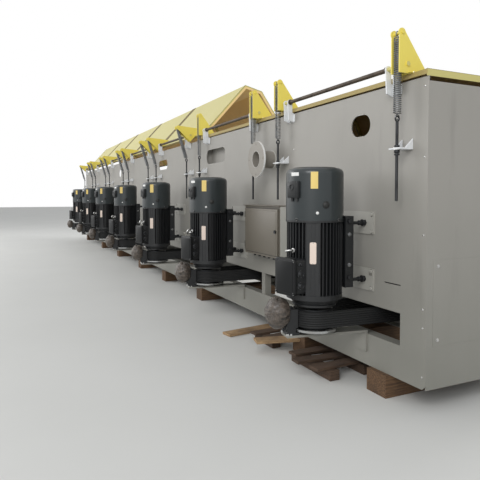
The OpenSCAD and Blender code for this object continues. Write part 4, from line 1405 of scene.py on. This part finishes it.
@dataclass
class Panel:
    """Seams, screws and fittings of the body's sheets.

    Args:
        front: Distance of the apron's sheets from the panel's face.
        top: Height of the panel's top over the foot of the base.
        seams: Distances of the panel's seams from the near end.
        duct: Distance of the duct from the near end and its height.
        box: Distances of the junction box's two sides from the near end.
        box_z: Heights of its lower and its upper edge.
        box_out: How far it stands out from the panel.
        vents: Distance, height, length and width of each opening.
    """

    front: float = 1.05
    top: float = 2.008
    seams: Point = (4.15, 8.35, 12.55)
    duct: Point2 = (2.04, 1.612)
    box: Point2 = (1.6, 2.33)
    box_z: Point2 = (0.67, 1.155)
    box_out: float = 0.165
    vents: Sequence[tuple[float, float, float, float]] = (
        (0.665, 1.775, 0.225, 0.16), (5.84, 1.775, 0.5, 0.16), (9.33, 1.775, 0.225, 0.16),
        (3.52, 1.76, 0.63, 0.185))

    def build(self) -> None:
        """Builds the details of the back panel, the ends and the apron."""
        seams = [Shape.block("panel_seams", (x - 0.001, -0.0006, 0.456), (x + 0.001, 0.001, self.top))
                 for x in map(x_of, self.seams)]
        seams[0].join(seams[1:]).wear(Finish.SEAM).settle("panel_paint")
        screw = Shape.dome("panel_screws", 0.007, 0.4).wear(Finish.BRIGHT)
        spots = [(seam + s * 0.02, z) for seam in self.seams for s in SIDES for z in (0.5, 0.95, 1.4, 1.95)]
        spots += [(0.03, z) for z in (0.08, 0.4, 0.52, 1.0, 1.5, 1.95)] + [(1.62, 1.68)]
        places = [facing((x_of(s), 0, z), FRONT) for s, z in spots]
        screw.repeat("panel_screws", places).settle("bright_steel")
        self.duct_rim()
        self.junction()
        self.openings()
        self.apron()
        self.ends()

    def duct_rim(self) -> None:
        """Builds the duct's weld bead and a white ring on the rim of its flange as a painted highlight."""
        bead = Shape.hoop("duct_rim", 0.087, 0.005, (0, 0, 0.002), UP, (56, 8)).wear(Finish.PALE)
        # The flange's rim in white: painted highlight.
        rim = Shape.lathe("rim", [(0.1735, 0.1625), (0.1762, 0.1635), (0.1762, 0.179), (0.1735, 0.1805)], 96)
        bore = Shape.hoop("bore", 0.081, 0.003, (0, 0, 0.1795), UP, (56, 6)).wear(Finish.PALE)
        bead.join([rim.wear(Finish.LABEL), bore])
        bead.put(facing((x_of(self.duct[0]), 0, self.duct[1]), FRONT)).settle("pale_paint")

    def junction(self) -> None:
        """Builds the junction box's door, hinges, lock and blind glands."""
        high, low = map(x_of, self.box)
        (z0, z1), y = self.box_z, -self.box_out

        def inside(name: str, inwards: float, front: float, back: float) -> Shape:
            """Starts from a block over the box's face that is smaller all round."""
            return Shape.block(name, (low + inwards, y + front, z0 + inwards),
                               (high - inwards, y + back, z1 - inwards))

        door = inside("junction_door", 0.028, -0.006, 0.001)
        door.pick_side(FRONT).inset(0.02).extrude((0, -0.003, 0)).soften(0.002)
        gap = inside("gap", 0.018, 0.0115, 0.013).wear(Finish.SEAM)
        hinges = [Shape.rod("hinge", 0.008, (low + 0.02, y + 0.002, z), (low + 0.02, y + 0.002, z + 0.06), 12)
                  for z in (z0 + 0.06, z1 - 0.12)]
        lock = Shape.rod("lock", 0.016, (high - 0.06, y - 0.008, 0.92), (high - 0.06, y - 0.018, 0.92))
        lock.pick_side(FRONT).inset(0.006, -0.003)
        side = Shape.block("side", (high - 0.0005, y + 0.012, z0), (high + 0.0015, 0.0, z1)).wear(Finish.PALE)
        cover = Shape.block("rain_strip", (low - 0.006, y - 0.012, z1), (high + 0.006, 0.0, z1 + 0.008))
        glands = [Shape.rod("gland", 0.016, (x, -0.08, z0), (x, -0.08, z0 - 0.03), 20, 0.012)
                  for x in (low + 0.08 + 0.1 * i for i in range(6))]
        cover.soften(0.003).wear(Finish.BOX)
        dark = [piece.wear(Finish.DARK) for piece in (*hinges, lock, *glands)]
        door.wear(Finish.BOX).join([gap, side, cover, *dark]).settle("box_paint")

    def openings(self) -> None:
        """Builds the folded rims of the vents and the tray behind the long opening."""
        rims = [self.oblong(*sizes) for sizes in self.vents]
        rims[0].obj.name = "opening_rims"
        rims[0].join(rims[1:]).wear(Finish.PALE).settle("panel_paint")
        tray = Shape.block("opening_tray", (x_of(3.87), 0.02, 1.64), (x_of(3.17), 0.1, 1.88))
        tray.pick_side(FRONT).inset(0.004).extrude((0, 0.07, 0))
        tray.wear(Finish.PANEL).settle("panel_paint")

    def oblong(self, distance: float, height: float, length: float, tall: float) -> Shape:
        """Models the edge of an opening with round ends: two half rings and two bars.

        Args:
            distance: Distance of its middle from the near end.
            height: Height of its middle.
            length: Its length.
            tall: Its height.

        Returns:
            The edge.
        """
        r, reach = tall / 2 - 0.0005, (length - tall) / 2
        outline = [(r, 0.0), (r + 0.0015, -0.0012), (r + 0.003, 0.0), (r, 0.009)]
        ends = [Shape.lathe("opening_rims", outline, 24, -90 * s, 180).put(shift(s * reach, 0, 0))
                for s in (1, -1)]
        bars = [Shape.block("bar", (-reach, low, -0.001), (reach, low + 0.003, 0.009))
                for low in (r, -r - 0.003)]
        return ends[0].join([ends[1], *bars]).put(shift(x_of(distance), 0, height) @ turn_about("X", -90))

    def apron(self) -> None:
        """Builds the apron's screws and the seals between its panels."""
        middles = [x_of(PITCH * k) for k in range(BLOCKS + 1)]
        spots = [facing((x + dx, self.front + 0.008, z), BACK) for x in middles for dx in (-0.035, 0.035)
                 for z in (0.05, 0.47, 0.9) if abs(x + dx) < NEAR_X]
        bolts("apron_screws", 0.018, 0.008, Finish.BRIGHT, spots).settle("bright_steel")
        gaps = [Shape.block("apron_joints", (x - 0.0055, self.front + 0.001, 0.015),
                            (x + 0.0055, self.front + 0.005, 0.935)) for x in middles[1:-1]]
        gaps[0].join(gaps[1:]).wear(Finish.SEAL).settle("belt_rubber")

    def ends(self) -> None:
        """Builds the framed sheets on the end walls with their screws."""
        sheets = [Shape.block("end_frames", (x, 0.06, 0.28), (x + 0.0016, 0.98, 0.84)).wear(Finish.PANEL)
                  for x in (-NEAR_X - 0.0016, NEAR_X)]
        for sheet in sheets:
            sheet.pick_faces(lambda c, n: abs(n.x) > 0.9).inset(0.003).soften(0.0005, 1)
        spots = [facing((s * NEAR_X, y, z), (s, 0, 0))
                 for s in SIDES for y in (0.1, 0.52, 0.94) for z in (0.32, 0.8)]
        screws = bolts("screw", 0.02, 0.008, Finish.BRIGHT, spots)
        sheets[0].join([sheets[1], screws]).settle("panel_paint")


@dataclass
class Drums:
    """Fittings of the drawing drums and the die boxes on the deck.

    Args:
        off: Distance of the drums' axes from the panel's face.
        deck: Height of the deck over the foot of the base.
        radius: Radius of a drum.
        height: Height of a drum.
    """

    off: float = 0.5
    deck: float = 0.9
    radius: float = 0.28
    height: float = 0.33

    def build(self) -> None:
        """Builds the drums' caps and bands and the die boxes' lids."""
        floor, h = BASE_Z + self.deck, self.height
        outline = [(0.001, h + 0.013), (0.06, h + 0.013), (0.066, h + 0.019), (0.04, h + 0.03),
                   (0.001, h + 0.032)]
        cap = Shape.lathe("drum_cap", outline).wear(Finish.DARK)
        heads = bolts("head", 0.024, 0.012, Finish.BRIGHT, [
            turn_about("Z", 60 * i) @ shift(0.075, 0, h + 0.014) for i in range(6)])
        r = self.radius + 0.001
        bands = [Shape.hoop("band", r - 0.0006 * i, 0.0045, (0, 0, 0.10 + 0.010 * i), UP, (72, 6))
                 .wear(Finish.DRUM) for i in range(7)]
        drums = each(lambda k: shift(motor_x(k), self.off, floor))
        cap.join([heads, *bands]).spread("bright_steel", places=drums)
        rail = Shape.block("die_box_fittings", (-0.17, -0.09, 0.24), (0.17, 0.09, 0.244))
        rail.pick_side(UP).inset(0.02, -0.002).wear(Finish.SLATE)
        grip = Shape.rod("grip", 0.008, (-0.06, 0, 0.27), (0.06, 0, 0.27), 16)
        posts = [Shape.rod("post", 0.008, (x, 0, 0.242), (x, 0, 0.27), 16) for x in (-0.06, 0.06)]
        outline = [(0.012, 0.0), (0.034, 0.0), (0.034, 0.006), (0.022, 0.016), (0.012, 0.016)]
        guides = [Shape.lathe("guide", outline, 32).wear(Finish.BRIGHT)
                  .put(facing((s * 0.18, -0.02, 0.15), (s, 0, 0))) for s in SIDES]
        boxes = each(lambda k: shift(motor_x(k) - PITCH / 2, self.off + self.radius - 0.11, floor))
        rail.join([grip.join(posts).wear(Finish.DARK), *guides]).spread("slate_paint", places=boxes)


@dataclass
class Dunnage:
    """Loose boards and pallet slats between the timbers near the near end."""

    def build(self) -> None:
        """Builds the boards."""
        boards = []
        slats = ((0.85, -0.30, 0.55, 4.0), (1.02, -0.34, 0.5, -3.0), (1.22, -0.26, 0.6, 2.0),
                 (1.75, -0.22, 0.5, 8.0), (1.93, -0.28, 0.45, 5.0))
        for s, low, high, turn in slats:
            board = Shape.block("pallet_boards", (-0.055, low, 0.078), (0.055, high, 0.1))
            boards.append(board.soften(0.003, 1).put(shift(x_of(s), 0, 0) @ turn_about("Z", turn)))
        for y in (-0.2, 0.12, 0.44):
            for far, near in ((1.32, 0.75), (2.02, 1.66)):
                runner = Shape.block("runner", (x_of(far), y, 0.0), (x_of(near), y + 0.09, 0.078))
                boards.append(runner.soften(0.003, 1))
        # The pallet boards are darkened as painted shade.
        boards[0].join(boards[1:]).wear(Finish.DARK_TIMBER).ride("root", "timber")
        planks = []
        for s, turn, drop in ((1.5, -14.0, 0.0), (2.3, 9.0, 0.1)):
            plank = Shape.block("loose_planks", (-0.07, -0.42, 0.102), (0.07, 0.2, 0.126)).soften(0.002, 1)
            planks.append(plank.put(shift(x_of(s), 0, -drop) @ turn_about("Z", turn)))
        planks[0].join(planks[1:]).wear(Finish.PALE_TIMBER).ride("root", "timber")


@dataclass
class Studio:
    """Floor, lights and camera.

    Args:
        focal_px: Focal length in pixels of the frame.
        frame_px: The frame's width and height.
        centre_px: Where the camera's axis meets the frame.
        eye: The camera's place.
        ahead: The camera's level direction.
        fall_deg: How far the camera looks down.
    """

    focal_px: float = 500.0
    frame_px: float = 480.0
    centre_px: Point2 = (240.5, 213.5)
    eye: Point = (NEAR_X + 2.359, -2.415, BASE_Z + 1.2515)
    ahead: Point2 = (-0.905, 0.4255)
    fall_deg: float = 2.0

    def camera(self) -> None:
        """Adds the camera at the photograph's viewpoint."""
        data = bpy.data.cameras.new("camera")
        data.sensor_width = 36.0
        data.lens = self.focal_px / self.frame_px * data.sensor_width
        data.shift_x = (self.frame_px / 2 - self.centre_px[0]) / self.frame_px
        data.shift_y = (self.centre_px[1] - self.frame_px / 2) / self.frame_px
        data.clip_end = 200.0
        camera = bpy.data.objects.new("camera", data)
        level = Vector((self.ahead[0], self.ahead[1], 0.0)).normalized()
        fall = math.radians(self.fall_deg)
        way = level * math.cos(fall) + Vector((0.0, 0.0, -math.sin(fall)))
        camera.rotation_euler = way.to_track_quat("-Z", "Y").to_euler()
        camera.location = self.eye
        bpy.context.scene.collection.objects.link(camera)
        bpy.context.scene.camera = camera

    def floor(self) -> None:
        """Adds the plain pale floor."""
        bpy.ops.object.select_all(action="DESELECT")
        bpy.ops.mesh.primitive_plane_add(size=120.0, location=(0.0, 0.0, -0.001))
        floor = bpy.context.object
        floor.name = "floor"
        s = Shader("floor_pale")
        blots = s.noise(1.6, 4.0)
        s.set(Base_Color=s.mix(rgb("D9D9D6"), rgb("CFCFCC"), blots), Roughness=0.8)
        floor.data.materials.append(s.material)

    def lights(self) -> None:
        """Adds the soft lamps and a world that shows white."""
        for name, place, aim, size, power in (
            ("key", (14.0, -9.0, 7.5), (3.0, 0.0, 1.0), 7.0, 900.0),
            ("fill", (-6.0, -10.0, 6.0), (-3.0, 0.0, 1.0), 8.0, 700.0),
            ("front", (0.0, 11.0, 7.0), (0.0, 0.5, 1.0), 10.0, 1000.0),
        ):
            data = bpy.data.lights.new(name, "AREA")
            data.size = size
            data.energy = power
            lamp = bpy.data.objects.new(name, data)
            lamp.location = place
            lamp.rotation_euler = (Vector(aim) - Vector(place)).to_track_quat("-Z", "Y").to_euler()
            bpy.context.scene.collection.objects.link(lamp)
        world = bpy.data.worlds.new("studio")
        bpy.context.scene.world = world
        world.use_nodes = True
        tree = world.node_tree
        tree.nodes.clear()
        out = tree.nodes.new("ShaderNodeOutputWorld")
        mix = tree.nodes.new("ShaderNodeMixShader")
        seen = tree.nodes.new("ShaderNodeBackground")
        soft = tree.nodes.new("ShaderNodeBackground")
        path = tree.nodes.new("ShaderNodeLightPath")
        seen.inputs["Color"].default_value = (1.0, 1.0, 1.0, 1.0)
        soft.inputs["Color"].default_value = (0.96, 0.98, 1.0, 1.0)
        soft.inputs["Strength"].default_value = 0.55
        direct = Socket(tree, path.outputs["Is Camera Ray"])
        mirrored = Socket(tree, path.outputs["Is Glossy Ray"])
        passed = Socket(tree, path.outputs["Is Transmission Ray"])
        tree.links.new(direct.at_least(mirrored).at_least(passed).socket, mix.inputs[0])
        tree.links.new(soft.outputs[0], mix.inputs[1])
        tree.links.new(seen.outputs[0], mix.inputs[2])
        tree.links.new(mix.outputs[0], out.inputs["Surface"])


def main() -> None:
    """Builds and dresses the machine and its studio in order."""
    logging.basicConfig(level=logging.INFO, format="%(message)s")
    bpy.context.scene.view_settings.view_transform = "Standard"
    studio = Studio()
    studio.camera()
    studio.floor()
    studio.lights()
    dress_nodes()
    for part in (FanCover, MotorBody, TerminalBox, Studs, Brake, BalanceSpring, Rods, Hood, Panel, Drums,
                 Dunnage):
        part().build()


if __name__ == "__main__":
    main()
